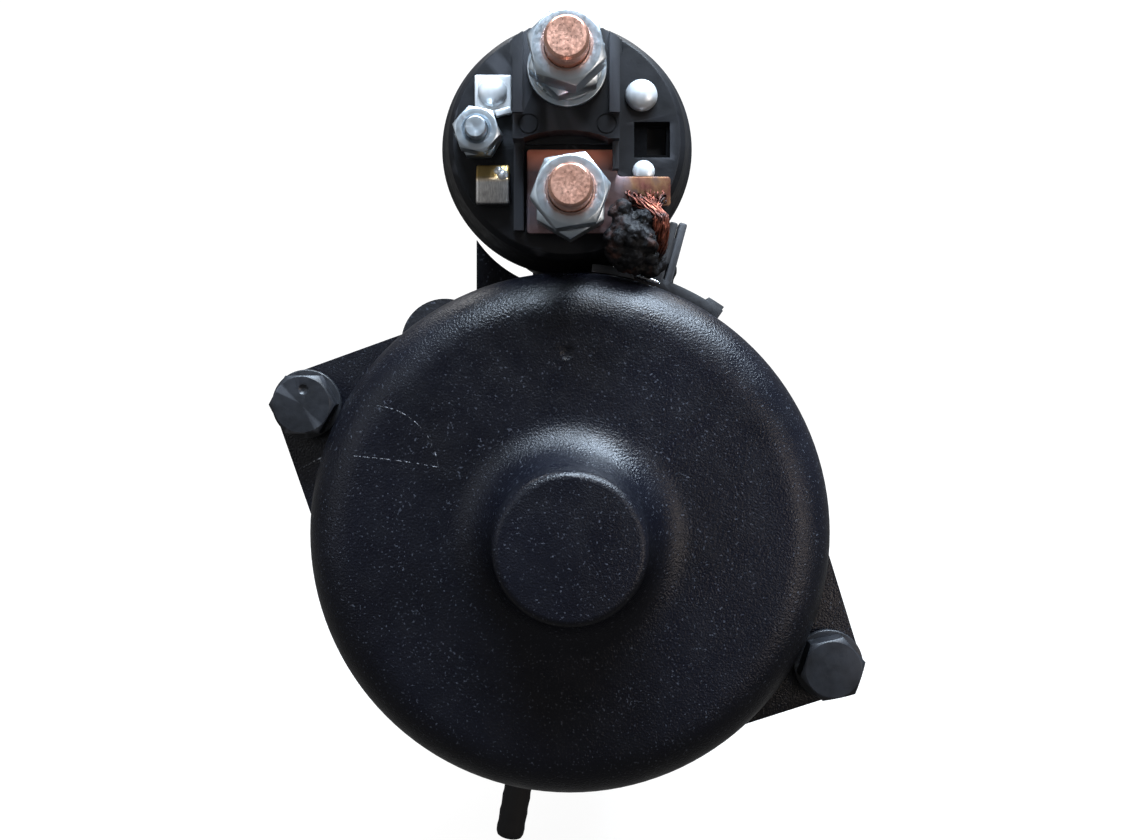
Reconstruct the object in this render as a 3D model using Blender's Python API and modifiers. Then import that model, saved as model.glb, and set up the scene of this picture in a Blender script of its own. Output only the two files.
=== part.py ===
"""Starter motor with a solenoid on top, as separate sub-parts.

Lengths are in millimetres and become metres in the helpers. Y runs along the shaft towards the
engine, Z points up to the solenoid, and the origin is on the shaft at the mounting flange's face.
"""

from math import acos, cos, degrees, pi, radians, sin, sqrt

import bmesh
import bpy
from mathutils import Matrix, Vector

MM = 0.001
GAP = 0.3  # left between pieces that touch

# Rear cover
RIM_Y = -170.0
COVER_R = 58.2
COVER_WALL = 5.2
RIM_ROUND = 11.0
COVER_FRONT_Y = -138.0
FACE_DOME = 0.8  # how far the face stands out where it meets the hub's flare
FLARE_R = 27.0
FLARE_LONG = 13.0
HUB_R = 16.3
HUB_REAR_Y = -202.7
HUB_EDGE = 1.7
BUSH_POCKET_R = 9.3
BUSH_POCKET_Y = -199.3
COVER_PLATE_INNER_Y = -176.0

# Through bolts and their ears
BOLT_ANGLES = (154.6, 332.4)
BOLT_CIRCLE_R = 66.5
EAR_END_R = 7.7
EAR_BODY_R = 55.0
EAR_Y = (-164.0, -150.0)
BOLT_R = 4.0
BOLT_END_Y = -34.0
BOLT_HEAD_TURNS = {"left": 0.0, "right": 12.0}
BOLT_HEAD_AF = 13.0
BOLT_HEAD_LONG = 5.3
WASHER_R = 7.9
WASHER_THICK = 1.6

# Yoke and poles
YOKE_R = 55.0
YOKE_WALL = 5.0
YOKE_FRONT_Y = -44.3
POLE_FACE_R = 38.3
POLE_Y = (-121.0, -53.0)
POLE_ANGLES = (45, 135, 225, 315)
POLE_HALF_ANGLE = 33.0
POLE_NECK_HALF_ANGLE = 20.0
COIL_PAST_POLES = (9.0, 7.5)

# Drive housing
BELL_REAR_Y = -44.0
BELL_R = 57.0
NECK_R = 47.0
FLANGE_THICK = 12.0
FLANGE_BODY_R = 50.0
FLANGE_EAR_ANGLES = (132.4, 312.4)
FLANGE_HOLE_CIRCLE_R = 63.6
FLANGE_EAR_R = 15.0
FLANGE_HOLE_R = 6.5
PILOT_R = 44.5
PILOT_END_Y = 13.0
NOSE_R = 31.0
NOSE_BORE_R = 26.5
NOSE_END_Y = 76.0
WINDOW_HALF_WIDE = 24.0
WINDOW_Y = (19.0, 53.0)
WINDOW_TOP_Z = -4.0
SEAT_R = (22.3, 19.5)  # at its rear and front faces
SEAT_Y = (-43.9, -0.5)
PLUNGER_CHAMBER_R = 16.8
WEB_HALF_WIDE = 12.0
LUG_END_R = 8.0

# Armature
SHAFT_R = 6.0
SPLINE_R = 7.5
CORE_SEAT_R = 9.0
SHAFT_Y = (-198.7, 72.7)
CORE_R = 37.5
CORE_Y = (-121.5, -53.0)
STOP_Y = (50.5, 55.0)
COMMUTATOR_R = 19.0
COMMUTATOR_Y = (-168.0, -143.0)
ARMATURE_SLOTS = 24

# Brushes
BRUSH_ANGLES = (0, 90, 180, 270)
BRUSH_INNER_R = 19.3
BRUSH_OUTER_R = 34.0
BRUSH_WIDE = 9.0
BRUSH_Y = (-162.0, -148.0)
BRUSH_PLATE_R = 51.5
BRUSH_PLATE_Y = (-142.0, -140.0)
BRUSH_HOLDER_R = (22.0, 47.0)

# Drive and pinion
COLLAR_Y = -26.0
COLLAR_R = 19.0
GROOVE_R = 13.0
GROOVE_HALF = 4.6
SLEEVE_FRONT_Y = -12.5
DRUM_R = 23.0
DRUM_Y = (-12.2, 10.0)
PINION_TEETH = 10
PINION_TIP_R = 18.0
PINION_PITCH_R = 15.2
PINION_ROOT_R = 12.0
PINION_Y = (15.0, 32.0)

# Lever
PIVOT_Y = -19.08
PIVOT_Z = 46.0
LEVER_TILT = radians(8.65)
LEVER_FORK_DROP = 46.0
LEVER_HALF_THICK = 3.0
LEVER_PAD_R = 4.0
LEVER_HUB_R = 7.0
FORK_HALF_WIDE = 24.0
PIN_R = 3.0

# Solenoid
SOL_X = -0.7
SOL_Z = 87.5
CAN_R = 25.7
CAN_FRONT_R = 22.3
CAN_STEP_Y = -112.0
CAN_WALL = 3.0
CAN_Y = (-164.0, -44.3)
RING_R = 29.0
RING_Y = -160.0
CAP_FACE_Y = -172.4
CAP_FACE_R = 25.4
BLOCK_Y = -181.5
BLOCK_X = (-12.4, 10.7)
RIB_WIDE = 2.2
RIB_PROUD = 1.5
RIB_Z = (4.2, 22.5)  # above the solenoid's axis
PLUNGER_R = 10.0
SPRING_TURNS = 5
SPRING_WIRE_R = 0.9
SPRING_R = 7.6
STUD_R = 4.5
STUD_HEAD_R = 5.9
STUD_HEAD_Y = (-167.8, -170.1)
STUD_CHAMFER = 0.5
SWITCH_STUD_R = 2.4
SWITCH_TIP_Y = -186.6
BATTERY_TIP_Y = -208.9
MOTOR_TIP_Y = -206.0
BATTERY_STUD = (-0.65, 101.35)
MOTOR_STUD = (0.1, 72.8)
SWITCH_STUD = (-20.1, 87.9)
BIG_NUT_AF = 14.6
SMALL_NUT_AF = 9.2
PLATE_THICK = 1.6
NUT_LONG = {"battery": (7.0, 9.0), "motor": (8.5, 8.5), "switch": (5.0, 6.0)}
NUT_TURNS = {"battery": (78.0, 43.0), "motor": (30.0, 9.0), "switch": (0.0, 48.0)}
MOTOR_NUT_SPACE = 6.9  # bare thread between the motor stud's two nuts

# Lead, its clip and the drain
LEAD_R = 2.3
LEAD_ROUTE = (  # x, y and the drop below the solenoid's axis, from the terminal plate's tab on
    (18.8, -178.8, 12.5),
    (19.6, -179.2, 16.5),
    (19.9, -178.6, 20.5),
    (19.3, -175.4, 24.2),
    (18.2, -169.8, 25.5),
    (17.6, -163.5, 25.8),
    (18.3, -156.0, 25.8),
    (21.0, -148.0, 25.6),
    (23.6, -139.0, 25.4),
    (24.8, -132.5, 25.8),
    (24.3, -128.6, 27.6),
)
INSULATION = ((8.9, -183.5, 60.5), (15.8, -174.7, 72.0))
LEAD_ANGLE = 67.0
LEAD_HOLE_Y = -128.0
LEAD_HOLE_R = 4.6
GROMMET_R = 7.5
CLIP_ANGLE = 65.5
CLIP_HALF_ANGLE = 10.5
CLIP_THICK = 2.4
CLIP_LEAN = radians(15)
CLIP_BARS = ((22.0, 56.0, 70.7), (24.0, 55.0, 70.5))  # each bar's middle x, and its lowest and highest z
CLIP_BAR_Y = (-166.0, -161.6)
CLIP_BAR_HALF_WIDE = 0.95
DRAIN_ANGLE = 259.7
DRAIN_Y = -95.0
DRAIN_R = 3.9
DRAIN_NECK_R = 2.2
DRAIN_LONG = 40.0

# Solenoid saddle
SADDLE_HALF_WIDE = 24.6
SADDLE_Y = (-119.0, -115.0)

COLOURS = {
    "black_paint": ((0.010, 0.010, 0.012), 0.45, 0.2),
    "black_steel": ((0.014, 0.015, 0.018), 0.35, 0.6),
    "bakelite": ((0.018, 0.019, 0.023), 0.55, 0.0),
    "rubber": ((0.012, 0.012, 0.013), 0.8, 0.0),
    "copper": ((0.72, 0.38, 0.28), 0.35, 1.0),
    "zinc": ((0.55, 0.58, 0.60), 0.3, 1.0),
    "tin": ((0.70, 0.71, 0.72), 0.25, 1.0),
    "steel": ((0.40, 0.40, 0.41), 0.35, 1.0),
    "bronze": ((0.50, 0.30, 0.12), 0.4, 1.0),
    "carbon": ((0.05, 0.045, 0.045), 0.6, 0.1),
    "varnish": ((0.32, 0.10, 0.04), 0.4, 0.2),
    "cast_iron": ((0.09, 0.09, 0.095), 0.55, 0.7),
}


def clear_scene():
    for old in list(bpy.data.objects):
        bpy.data.objects.remove(old, do_unlink=True)


def new_collection(name):
    collection = bpy.data.collections.new(name)
    bpy.context.scene.collection.children.link(collection)
    return collection


clear_scene()
PARTS = new_collection("starter_motor")
CUTTERS = new_collection("cutters")


def material(name, colour_name):
    colour, roughness, metallic = COLOURS[colour_name]
    made = bpy.data.materials.new(name)
    made.use_nodes = True
    shader = made.node_tree.nodes["Principled BSDF"]
    shader.inputs["Base Color"].default_value = (*colour, 1.0)
    shader.inputs["Roughness"].default_value = roughness
    shader.inputs["Metallic"].default_value = metallic
    made.diffuse_color = (*colour, 1.0)
    return made


def add(name, mesh, colour_name=None):
    """An object in the parts collection, or a cutter when it has no colour."""
    made = bpy.data.objects.new(name, mesh)
    if colour_name:
        mesh.materials.append(material(name, colour_name))
        PARTS.objects.link(made)
        return made
    made.hide_render = True
    made.display_type = "WIRE"
    CUTTERS.objects.link(made)
    return made


def smooth(made):
    for face in made.data.polygons:
        face.use_smooth = True
    return made


def turned(name, profile, colour_name=None, at=(0.0, 0.0), steps=36):
    """A profile of (radius, y) turned about an axis along Y at x, z.

    Its outer side runs from high y to low y. A profile that starts and ends on the axis is a solid,
    and any other is closed into a ring.
    """
    mesh = bpy.data.meshes.new(name)
    points = [(radius * MM, 0.0, y * MM) for radius, y in profile]
    edges = [(i, i + 1) for i in range(len(points) - 1)]
    if profile[0][0] > 0 or profile[-1][0] > 0:
        edges.append((len(points) - 1, 0))
    mesh.from_pydata(points, edges, [])
    made = add(name, mesh, colour_name)
    made.rotation_euler = (-pi / 2, 0.0, 0.0)
    made.location = (at[0] * MM, 0.0, at[1] * MM)
    screw = made.modifiers.new("turn", "SCREW")
    screw.axis = "Z"
    screw.steps = steps
    screw.render_steps = steps
    screw.use_merge_vertices = True
    screw.merge_threshold = 0.00001
    screw.use_smooth_shade = True
    return made


def ring(name, inner, outer, y0, y1, colour_name=None, at=(0.0, 0.0), steps=36):
    profile = [(inner, y1), (outer, y1), (outer, y0), (inner, y0)]
    if inner == 0:
        profile = [(0, y1), (outer, y1), (outer, y0), (0, y0)]
    return turned(name, profile, colour_name, at, steps)


def as_mesh(curve_object, name, colour_name=None):
    """The curve object's solid as a mesh object with its ends welded. The curve is removed."""
    bpy.context.view_layer.update()
    graph = bpy.context.evaluated_depsgraph_get()
    mesh = bpy.data.meshes.new_from_object(curve_object.evaluated_get(graph))
    mesh.name = name
    shape = bmesh.new()
    shape.from_mesh(mesh)
    bmesh.ops.remove_doubles(shape, verts=shape.verts, dist=0.000001)
    shape.to_mesh(mesh)
    shape.free()
    mesh.materials.clear()
    matrix = curve_object.matrix_world.copy()
    bpy.data.objects.remove(curve_object, do_unlink=True)
    made = add(name, mesh, colour_name)
    made.matrix_world = matrix
    return made


def plate(name, outlines, y0, y1, colour_name=None):
    """Flat outlines of (x, z) points, the first one outermost, as a plate from y0 to y1."""
    curve = bpy.data.curves.new(name, "CURVE")
    curve.dimensions = "2D"
    curve.fill_mode = "BOTH"
    curve.extrude = (y1 - y0) / 2 * MM
    for outline in outlines:
        spline = curve.splines.new("POLY")
        spline.points.add(len(outline) - 1)
        for point, (x, z) in zip(spline.points, outline):
            point.co = (x * MM, -z * MM, 0.0, 1.0)
        spline.use_cyclic_u = True
    flat = bpy.data.objects.new(name, curve)
    PARTS.objects.link(flat)
    flat.rotation_euler = (-pi / 2, 0.0, 0.0)
    flat.location = (0.0, (y0 + y1) / 2 * MM, 0.0)
    return as_mesh(flat, name, colour_name)


def wire(name, points, radius, colour_name):
    """A round wire through (x, y, z) points."""
    curve = bpy.data.curves.new(name, "CURVE")
    curve.dimensions = "3D"
    curve.bevel_depth = radius * MM
    curve.bevel_resolution = 2
    curve.use_fill_caps = True
    spline = curve.splines.new("POLY")
    spline.points.add(len(points) - 1)
    for point, place in zip(spline.points, points):
        point.co = (place[0] * MM, place[1] * MM, place[2] * MM, 1.0)
    made = bpy.data.objects.new(name, curve)
    PARTS.objects.link(made)
    return smooth(as_mesh(made, name, colour_name))


def box(name, low, high, colour_name=None, turn=None):
    """A box between two corners, turned about its centre when a matrix is given."""
    mesh = bpy.data.meshes.new(name)
    shape = bmesh.new()
    bmesh.ops.create_cube(shape, size=1.0)
    size = [(b - a) * MM for a, b in zip(low, high)]
    bmesh.ops.scale(shape, vec=size, verts=shape.verts)
    shape.to_mesh(mesh)
    shape.free()
    made = add(name, mesh, colour_name)
    centre = Vector([(a + b) / 2 * MM for a, b in zip(low, high)])
    made.matrix_world = Matrix.Translation(centre) @ (turn or Matrix.Identity(4))
    return made


def rod(name, centre, radius, length, axis, colour_name=None, steps=24):
    """A cylinder about its centre, along a unit vector."""
    mesh = bpy.data.meshes.new(name)
    shape = bmesh.new()
    bmesh.ops.create_cone(
        shape,
        cap_ends=True,
        segments=steps,
        radius1=radius * MM,
        radius2=radius * MM,
        depth=length * MM,
    )
    shape.to_mesh(mesh)
    shape.free()
    made = add(name, mesh, colour_name)
    turn = Vector((0, 0, 1)).rotation_difference(Vector(axis)).to_matrix().to_4x4()
    made.matrix_world = Matrix.Translation(Vector(centre) * MM) @ turn
    return made


def move_origin(made, place):
    """Puts the object's origin at a place, leaving its shape where it is."""
    made.data.transform(place.inverted() @ made.matrix_world)
    made.matrix_world = place


def cut(target, tool):
    change = target.modifiers.new("cut " + tool.name, "BOOLEAN")
    change.operation = "DIFFERENCE"
    change.object = tool


def join(target, tool):
    change = target.modifiers.new("join " + tool.name, "BOOLEAN")
    change.operation = "UNION"
    change.object = tool


def arc(radius, start, end, steps, centre=(0.0, 0.0)):
    """Points from one angle to another, in degrees."""
    angles = [radians(start + (end - start) * i / steps) for i in range(steps + 1)]
    return [(centre[0] + radius * cos(a), centre[1] + radius * sin(a)) for a in angles]


def circle(radius, centre=(0.0, 0.0), steps=36):
    return arc(radius, 0, 360 - 360 / steps, steps - 1, centre)


def hexagon(across_flats, centre, turn=0.0):
    return arc(across_flats / sqrt(3), turn, turn + 300, 5, centre)


def eared(body_r, angles, circle_r, ear_r):
    """A round body with two ears, joined by straight flanks that touch both circles."""
    spread = degrees(acos((body_r - ear_r) / circle_r))
    left, right = angles
    outline = []
    for ear, following in ((left, right), (right, left + 360)):
        centre = (circle_r * cos(radians(ear)), circle_r * sin(radians(ear)))
        outline += arc(ear_r, ear - spread, ear + spread, 8, centre)
        outline += arc(body_r, ear + spread, following - spread, 12)
    return outline


def ear_centres(angles, radius):
    """The left and right ears' centres, each with the name of its side."""
    centres = [(radius * cos(radians(a)), radius * sin(radians(a))) for a in angles]
    return list(zip(("left", "right"), centres))


def sector(inner, outer, middle, half_width, steps=6):
    low, high = middle - half_width, middle + half_width
    return arc(outer, low, high, steps) + arc(inner, high, low, steps)


# --- Rear cover -------------------------------------------------------------------------------


def cover_outside():
    """From the front edge, over the rounded rim and the flared hub, to the axis."""
    rim_centre_r = COVER_R - RIM_ROUND
    outside = [(COVER_R, COVER_FRONT_Y), (COVER_R, RIM_Y)]
    for i in range(1, 6):
        turn = radians(90 * i / 5)
        outside.append((rim_centre_r + RIM_ROUND * cos(turn), RIM_Y - RIM_ROUND * sin(turn)))
    face_y = RIM_Y - RIM_ROUND - FACE_DOME
    flare_y = RIM_Y - RIM_ROUND - FLARE_LONG
    for i in range(5):
        turn = radians(90 * i / 4)
        radius = FLARE_R - (FLARE_R - HUB_R) * sin(turn)
        outside.append((radius, flare_y + (face_y - flare_y) * cos(turn)))
    outside += [(HUB_R - 0.6, HUB_REAR_Y + HUB_EDGE), (HUB_R - 2.0, HUB_REAR_Y), (0, HUB_REAR_Y)]
    return outside


def rear_cover():
    inner_r = COVER_R - COVER_WALL
    inside = [
        (0, BUSH_POCKET_Y),
        (BUSH_POCKET_R, BUSH_POCKET_Y),
        (BUSH_POCKET_R, -180.0),
        (14.0, COVER_PLATE_INNER_Y - 1.0),
        (inner_r - 8.0, COVER_PLATE_INNER_Y),
        (inner_r, COVER_PLATE_INNER_Y + 8.0),
        (inner_r, COVER_FRONT_Y),
    ]
    made = turned("rear_cover", inside + cover_outside(), "black_paint", steps=40)
    ears = plate(
        "cover_ears",
        [eared(EAR_BODY_R, BOLT_ANGLES, BOLT_CIRCLE_R, EAR_END_R), circle(EAR_BODY_R - 1.0, steps=40)],
        *EAR_Y,
    )
    join(made, ears)
    ear_middle_y = sum(EAR_Y) / 2
    for side, (x, z) in ear_centres(BOLT_ANGLES, BOLT_CIRCLE_R):
        cut(made, rod("ear_hole_" + side, (x, ear_middle_y, z), BOLT_R + GAP, 30, (0, 1, 0)))
    return made


def through_bolts():
    seat = EAR_Y[0] - GAP
    under_head = seat - WASHER_THICK - GAP
    for side, centre in ear_centres(BOLT_ANGLES, BOLT_CIRCLE_R):
        washer_y = (seat - WASHER_THICK, seat)
        ring("bolt_washer_" + side, BOLT_R + GAP, WASHER_R, *washer_y, "black_steel", centre, 24)
        outline = hexagon(BOLT_HEAD_AF, centre, BOLT_HEAD_TURNS[side])
        head_y = (under_head - BOLT_HEAD_LONG, under_head)
        head = plate("through_bolt_" + side, [outline], *head_y, "black_steel")
        join(head, ring("shank_" + side, 0, BOLT_R, under_head - 1.0, BOLT_END_Y, at=centre, steps=24))


# --- Yoke, poles and field winding ------------------------------------------------------------


def yoke():
    inner = YOKE_R - YOKE_WALL
    made = ring("yoke", inner, YOKE_R, COVER_FRONT_Y + GAP, YOKE_FRONT_Y, "black_paint", steps=40)
    wall_middle = YOKE_R - YOKE_WALL / 2
    cut(made, rod("lead_hole", lead_hole_centre(wall_middle), LEAD_HOLE_R, 20, lead_direction()))
    cut(made, rod("drain_hole", drain_point(wall_middle), DRAIN_NECK_R + 0.4, 20, drain_direction()))
    return made


def pole_shoes():
    outer = YOKE_R - YOKE_WALL - GAP
    for number, angle in enumerate(POLE_ANGLES, 1):
        tips = (angle - POLE_HALF_ANGLE, angle + POLE_HALF_ANGLE)
        neck = (angle - POLE_NECK_HALF_ANGLE, angle + POLE_NECK_HALF_ANGLE)
        tip_back_r = POLE_FACE_R + 2.5
        outline = arc(POLE_FACE_R, tips[1], tips[0], 8) + arc(tip_back_r, tips[0], neck[0], 2)
        outline += arc(outer, neck[0], neck[1], 6) + arc(tip_back_r, neck[1], tips[1], 2)
        plate(f"pole_shoe_{number}", [outline], *POLE_Y, "steel")


def field_winding():
    """Four flat coils round the poles, joined by links at the rear."""
    inner, outer = POLE_FACE_R + 3.2, YOKE_R - YOKE_WALL - 0.6
    low, high = POLE_Y[0] - COIL_PAST_POLES[0], POLE_Y[1] + COIL_PAST_POLES[1]
    made = plate("field_winding", [circle(outer, steps=40), circle(inner, steps=40)], low, high, "varnish")
    for number, angle in enumerate(POLE_ANGLES, 1):
        window = plate(
            f"pole_window_{number}",
            [sector(inner - 2, outer + 2, angle, POLE_NECK_HALF_ANGLE + 1.5)],
            POLE_Y[0] - 1.0,
            POLE_Y[1] + 1.0,
        )
        cut(made, window)
        between = plate(
            f"coil_gap_{number}",
            [sector(inner - 2, outer + 2, angle + 45, 4.0, 2)],
            low + 4.0,
            high + 2.0,
        )
        cut(made, between)
    return made


# --- Brushes ----------------------------------------------------------------------------------


def brush_gear():
    outlines = [circle(BRUSH_PLATE_R, steps=40), circle(24, steps=36)]
    made = plate("brush_plate", outlines, *BRUSH_PLATE_Y, "zinc")
    for number, angle in enumerate(BRUSH_ANGLES, 1):
        place = Matrix.Rotation(radians(-angle), 4, "Y")
        half_wide = BRUSH_WIDE / 2

        def radial_box(name, r0, r1, y0, y1, half, colour_name=None):
            part = box(name, (r0, y0, -half), (r1, y1, half), colour_name)
            part.matrix_world = place @ part.matrix_world
            return part

        inner, outer = BRUSH_HOLDER_R
        holder_y = (BRUSH_Y[0] - 3, BRUSH_PLATE_Y[0] + 1)
        join(made, radial_box(f"holder_{number}", inner, outer, *holder_y, half_wide + 2.2))
        slot_y = (BRUSH_Y[0] - GAP, BRUSH_Y[1] + GAP)
        cut(made, radial_box(f"brush_slot_{number}", inner - 2, outer - 1.5, *slot_y, half_wide + GAP))
        radial_box(f"brush_{number}", BRUSH_INNER_R, BRUSH_OUTER_R, *BRUSH_Y, half_wide, "carbon")
    return made


# --- Armature ---------------------------------------------------------------------------------


def slotted(radius, slot_r, count, slot_share):
    """A round outline with evenly spaced slots."""
    outline = []
    pitch = 360 / count
    for i in range(count):
        start = i * pitch
        slot = pitch * slot_share
        outline += arc(radius, start + slot / 2, start + pitch - slot / 2, 2)
        outline += arc(slot_r, start + pitch - slot / 2, start + pitch + slot / 2, 1)
    return outline


def armature():
    rear, front = SHAFT_Y
    profile = [
        (0, front),
        (SHAFT_R, front),
        (SHAFT_R, STOP_Y[1] + 2.0),
        (SPLINE_R, STOP_Y[1] + 2.0),
        (SPLINE_R, -46.0),
        (CORE_SEAT_R, -47.0),
        (CORE_SEAT_R, -180.5),
        (SHAFT_R, -180.5),
        (SHAFT_R, rear),
        (0, rear),
    ]
    turned("armature_shaft", profile, "steel", steps=32)
    bore = circle(CORE_SEAT_R + GAP, steps=24)
    core_outline = slotted(CORE_R, CORE_R - 4, ARMATURE_SLOTS, 0.3)
    plate("armature_core", [core_outline, bore], *CORE_Y, "steel")
    bars_outline = slotted(COMMUTATOR_R, COMMUTATOR_R - 0.9, ARMATURE_SLOTS, 0.14)
    plate("commutator", [bars_outline, bore], *COMMUTATOR_Y, "copper")
    bore_r = CORE_SEAT_R + 2 * GAP
    for end, y0, y1 in (("rear", -137.0, CORE_Y[0] - GAP), ("front", CORE_Y[1] + GAP, -46.0)):
        head = [(bore_r, y1), (34.0, y1), (34.5, (y0 + y1) / 2), (32.0, y0), (bore_r, y0)]
        turned("armature_winding_" + end, head, "varnish", steps=32)
    ring("stop_ring", SPLINE_R + GAP, 11.5, *STOP_Y, "steel", steps=32)


# --- Bushes and centre plate ------------------------------------------------------------------


def bushes():
    bore, outer = SHAFT_R + 0.1, BUSH_POCKET_R - GAP
    ring("rear_bush", bore, outer, -198.9, -183.0, "bronze", steps=32)
    ring("nose_bush", bore, outer, 58.5, 72.4, "bronze", steps=32)
    outlines = [circle(52.7, steps=40), circle(SPLINE_R + 0.2, steps=32)]
    plate("centre_bearing_plate", outlines, -43.7, -40.7, "cast_iron")


# --- Drive housing ----------------------------------------------------------------------------


def drive_housing():
    outside = [
        (0, NOSE_END_Y),
        (12, NOSE_END_Y),
        (15, NOSE_END_Y - 2.5),
        (17, 69),
        (26, 65),
        (NOSE_R, 59),
        (NOSE_R, 24),
        (PILOT_R, PILOT_END_Y),
        (PILOT_R, -1),
        (NECK_R, -2),
        (NECK_R, -26),
        (BELL_R, -34),
        (BELL_R, BELL_REAR_Y),
    ]
    inside = [
        (53, BELL_REAR_Y),
        (53, -40.4),
        (48.5, -39.8),
        (43, -28),
        (43, -6),
        (38, 0),
        (NOSE_BORE_R, 14),
        (NOSE_BORE_R, 57.5),
        (BUSH_POCKET_R, 58.1),
        (BUSH_POCKET_R, 73),
        (0, 73),
    ]
    made = turned("drive_housing", outside + inside, "black_paint", steps=40)
    flange = eared(FLANGE_BODY_R, FLANGE_EAR_ANGLES, FLANGE_HOLE_CIRCLE_R, FLANGE_EAR_R)
    join(made, plate("mounting_flange", [flange, circle(PILOT_R - 0.5, steps=40)], -FLANGE_THICK, 0))
    lugs = eared(EAR_BODY_R, BOLT_ANGLES, BOLT_CIRCLE_R, LUG_END_R)
    join(made, plate("bolt_lugs", [lugs, circle(EAR_BODY_R - 1.0, steps=40)], BELL_REAR_Y + GAP, -35))
    join(made, box("lever_web", (-WEB_HALF_WIDE, -39, 40), (WEB_HALF_WIDE, -1.5, 75)))
    solenoid_axis = (SOL_X, SOL_Z)
    seat = [(0, SEAT_Y[1]), (SEAT_R[1], SEAT_Y[1]), (SEAT_R[0], SEAT_Y[0]), (0, SEAT_Y[0])]
    join(made, turned("solenoid_seat", seat, at=solenoid_axis))
    cut(made, ring("plunger_chamber", 0, PLUNGER_CHAMBER_R, -50, -4.5, at=solenoid_axis))
    cut(made, box("lever_slot", (-8, -36, 30), (8, -6, 74)))
    cut(made, rod("pivot_hole", (0, PIVOT_Y, PIVOT_Z), PIN_R + GAP, 60, (1, 0, 0)))
    wide = WINDOW_HALF_WIDE
    cut(made, box("gear_window", (-wide, WINDOW_Y[0], -60), (wide, WINDOW_Y[1], WINDOW_TOP_Z)))
    for side, (x, z) in ear_centres(BOLT_ANGLES, BOLT_CIRCLE_R):
        cut(made, rod("lug_hole_" + side, (x, -40, z), BOLT_R + GAP, 30, (0, 1, 0)))
    for side, (x, z) in ear_centres(FLANGE_EAR_ANGLES, FLANGE_HOLE_CIRCLE_R):
        hole = rod("mounting_hole_" + side, (x, -6, z), FLANGE_HOLE_R, 40, (0, 1, 0), steps=32)
        cut(made, hole)
    rod("lever_pin", (0, PIVOT_Y, PIVOT_Z), PIN_R, 2 * WEB_HALF_WIDE + 2, (1, 0, 0), "steel")
    return made


# --- Drive, pinion and lever ------------------------------------------------------------------


def drive():
    bore = SPLINE_R + GAP
    groove_front, groove_rear = COLLAR_Y + GROOVE_HALF, COLLAR_Y - GROOVE_HALF
    sleeve = [
        (bore, SLEEVE_FRONT_Y),
        (15, SLEEVE_FRONT_Y),
        (15, groove_front + 3),
        (COLLAR_R, groove_front + 3),
        (COLLAR_R, groove_front),
        (GROOVE_R, groove_front),
        (GROOVE_R, groove_rear),
        (COLLAR_R, groove_rear),
        (COLLAR_R, groove_rear - 2.4),
        (bore, groove_rear - 2.4),
    ]
    turned("drive_sleeve", sleeve, "steel", steps=32)
    rear, front = DRUM_Y
    edge_r = DRUM_R - 3
    drum = [(bore, front), (edge_r, front), (DRUM_R, front - 2), (DRUM_R, rear + 2.2)]
    drum += [(DRUM_R - 2, rear), (bore, rear)]
    turned("clutch_drum", drum, "steel", steps=32)
    pinion = plate("pinion", [pinion_outline(), circle(bore, steps=24)], *PINION_Y, "steel")
    boss_y = (front + GAP, PINION_Y[0] + 0.5)
    join(pinion, ring("pinion_boss", bore, PINION_ROOT_R + 0.5, *boss_y, steps=24))


def pinion_outline():
    """Each tooth as a root land, a flank point, a tip land and a flank point, in shares of the pitch."""
    outline = []
    pitch = 360 / PINION_TEETH
    tooth = (
        (PINION_ROOT_R, -0.22),
        (PINION_ROOT_R, 0.10),
        (PINION_PITCH_R, 0.20),
        (PINION_TIP_R, 0.33),
        (PINION_TIP_R, 0.55),
        (PINION_PITCH_R, 0.68),
    )
    for i in range(PINION_TEETH):
        for radius, share in tooth:
            angle = radians((i + share) * pitch)
            outline.append((radius * cos(angle), radius * sin(angle)))
    return outline


def shift_lever():
    """A flat arm with a fork below the pivot, tilted to its rest position. Its origin is on the pivot."""
    arm_top = SOL_Z - PIVOT_Z
    half = LEVER_HALF_THICK
    pivot = Matrix.Translation(Vector((0, PIVOT_Y, PIVOT_Z)) * MM) @ Matrix.Rotation(-LEVER_TILT, 4, "X")

    def placed(part):
        part.matrix_world = pivot @ part.matrix_world
        return part

    made = placed(box("shift_lever", (-half, -3, -22), (half, 3, arm_top - 1.0), "steel"))
    move_origin(made, pivot)
    join(made, placed(rod("lever_pad", (0, 0, arm_top), LEVER_PAD_R, 2 * half - 0.02, (1, 0, 0))))
    join(made, placed(rod("lever_hub", (0, 0, 0), LEVER_HUB_R, 15, (1, 0, 0))))
    wide = FORK_HALF_WIDE
    join(made, placed(box("fork_bridge", (-wide, -3.5, -26), (wide, 3.5, -20))))
    for name, side in (("left", -1), ("right", 1)):
        low, high = sorted((side * (wide - 4), side * wide))
        join(made, placed(box("fork_leg_" + name, (low, -3.2, -LEVER_FORK_DROP - 3), (high, 3.2, -21))))
        pad_centre = (side * (wide - 6), 0, -LEVER_FORK_DROP)
        join(made, placed(rod("fork_pad_" + name, pad_centre, LEVER_PAD_R, 8.0, (1, 0, 0))))
    cut(made, placed(rod("lever_bore", (0, 0, 0), PIN_R + GAP, 30, (1, 0, 0))))
    return made


# --- Solenoid ---------------------------------------------------------------------------------


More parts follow.
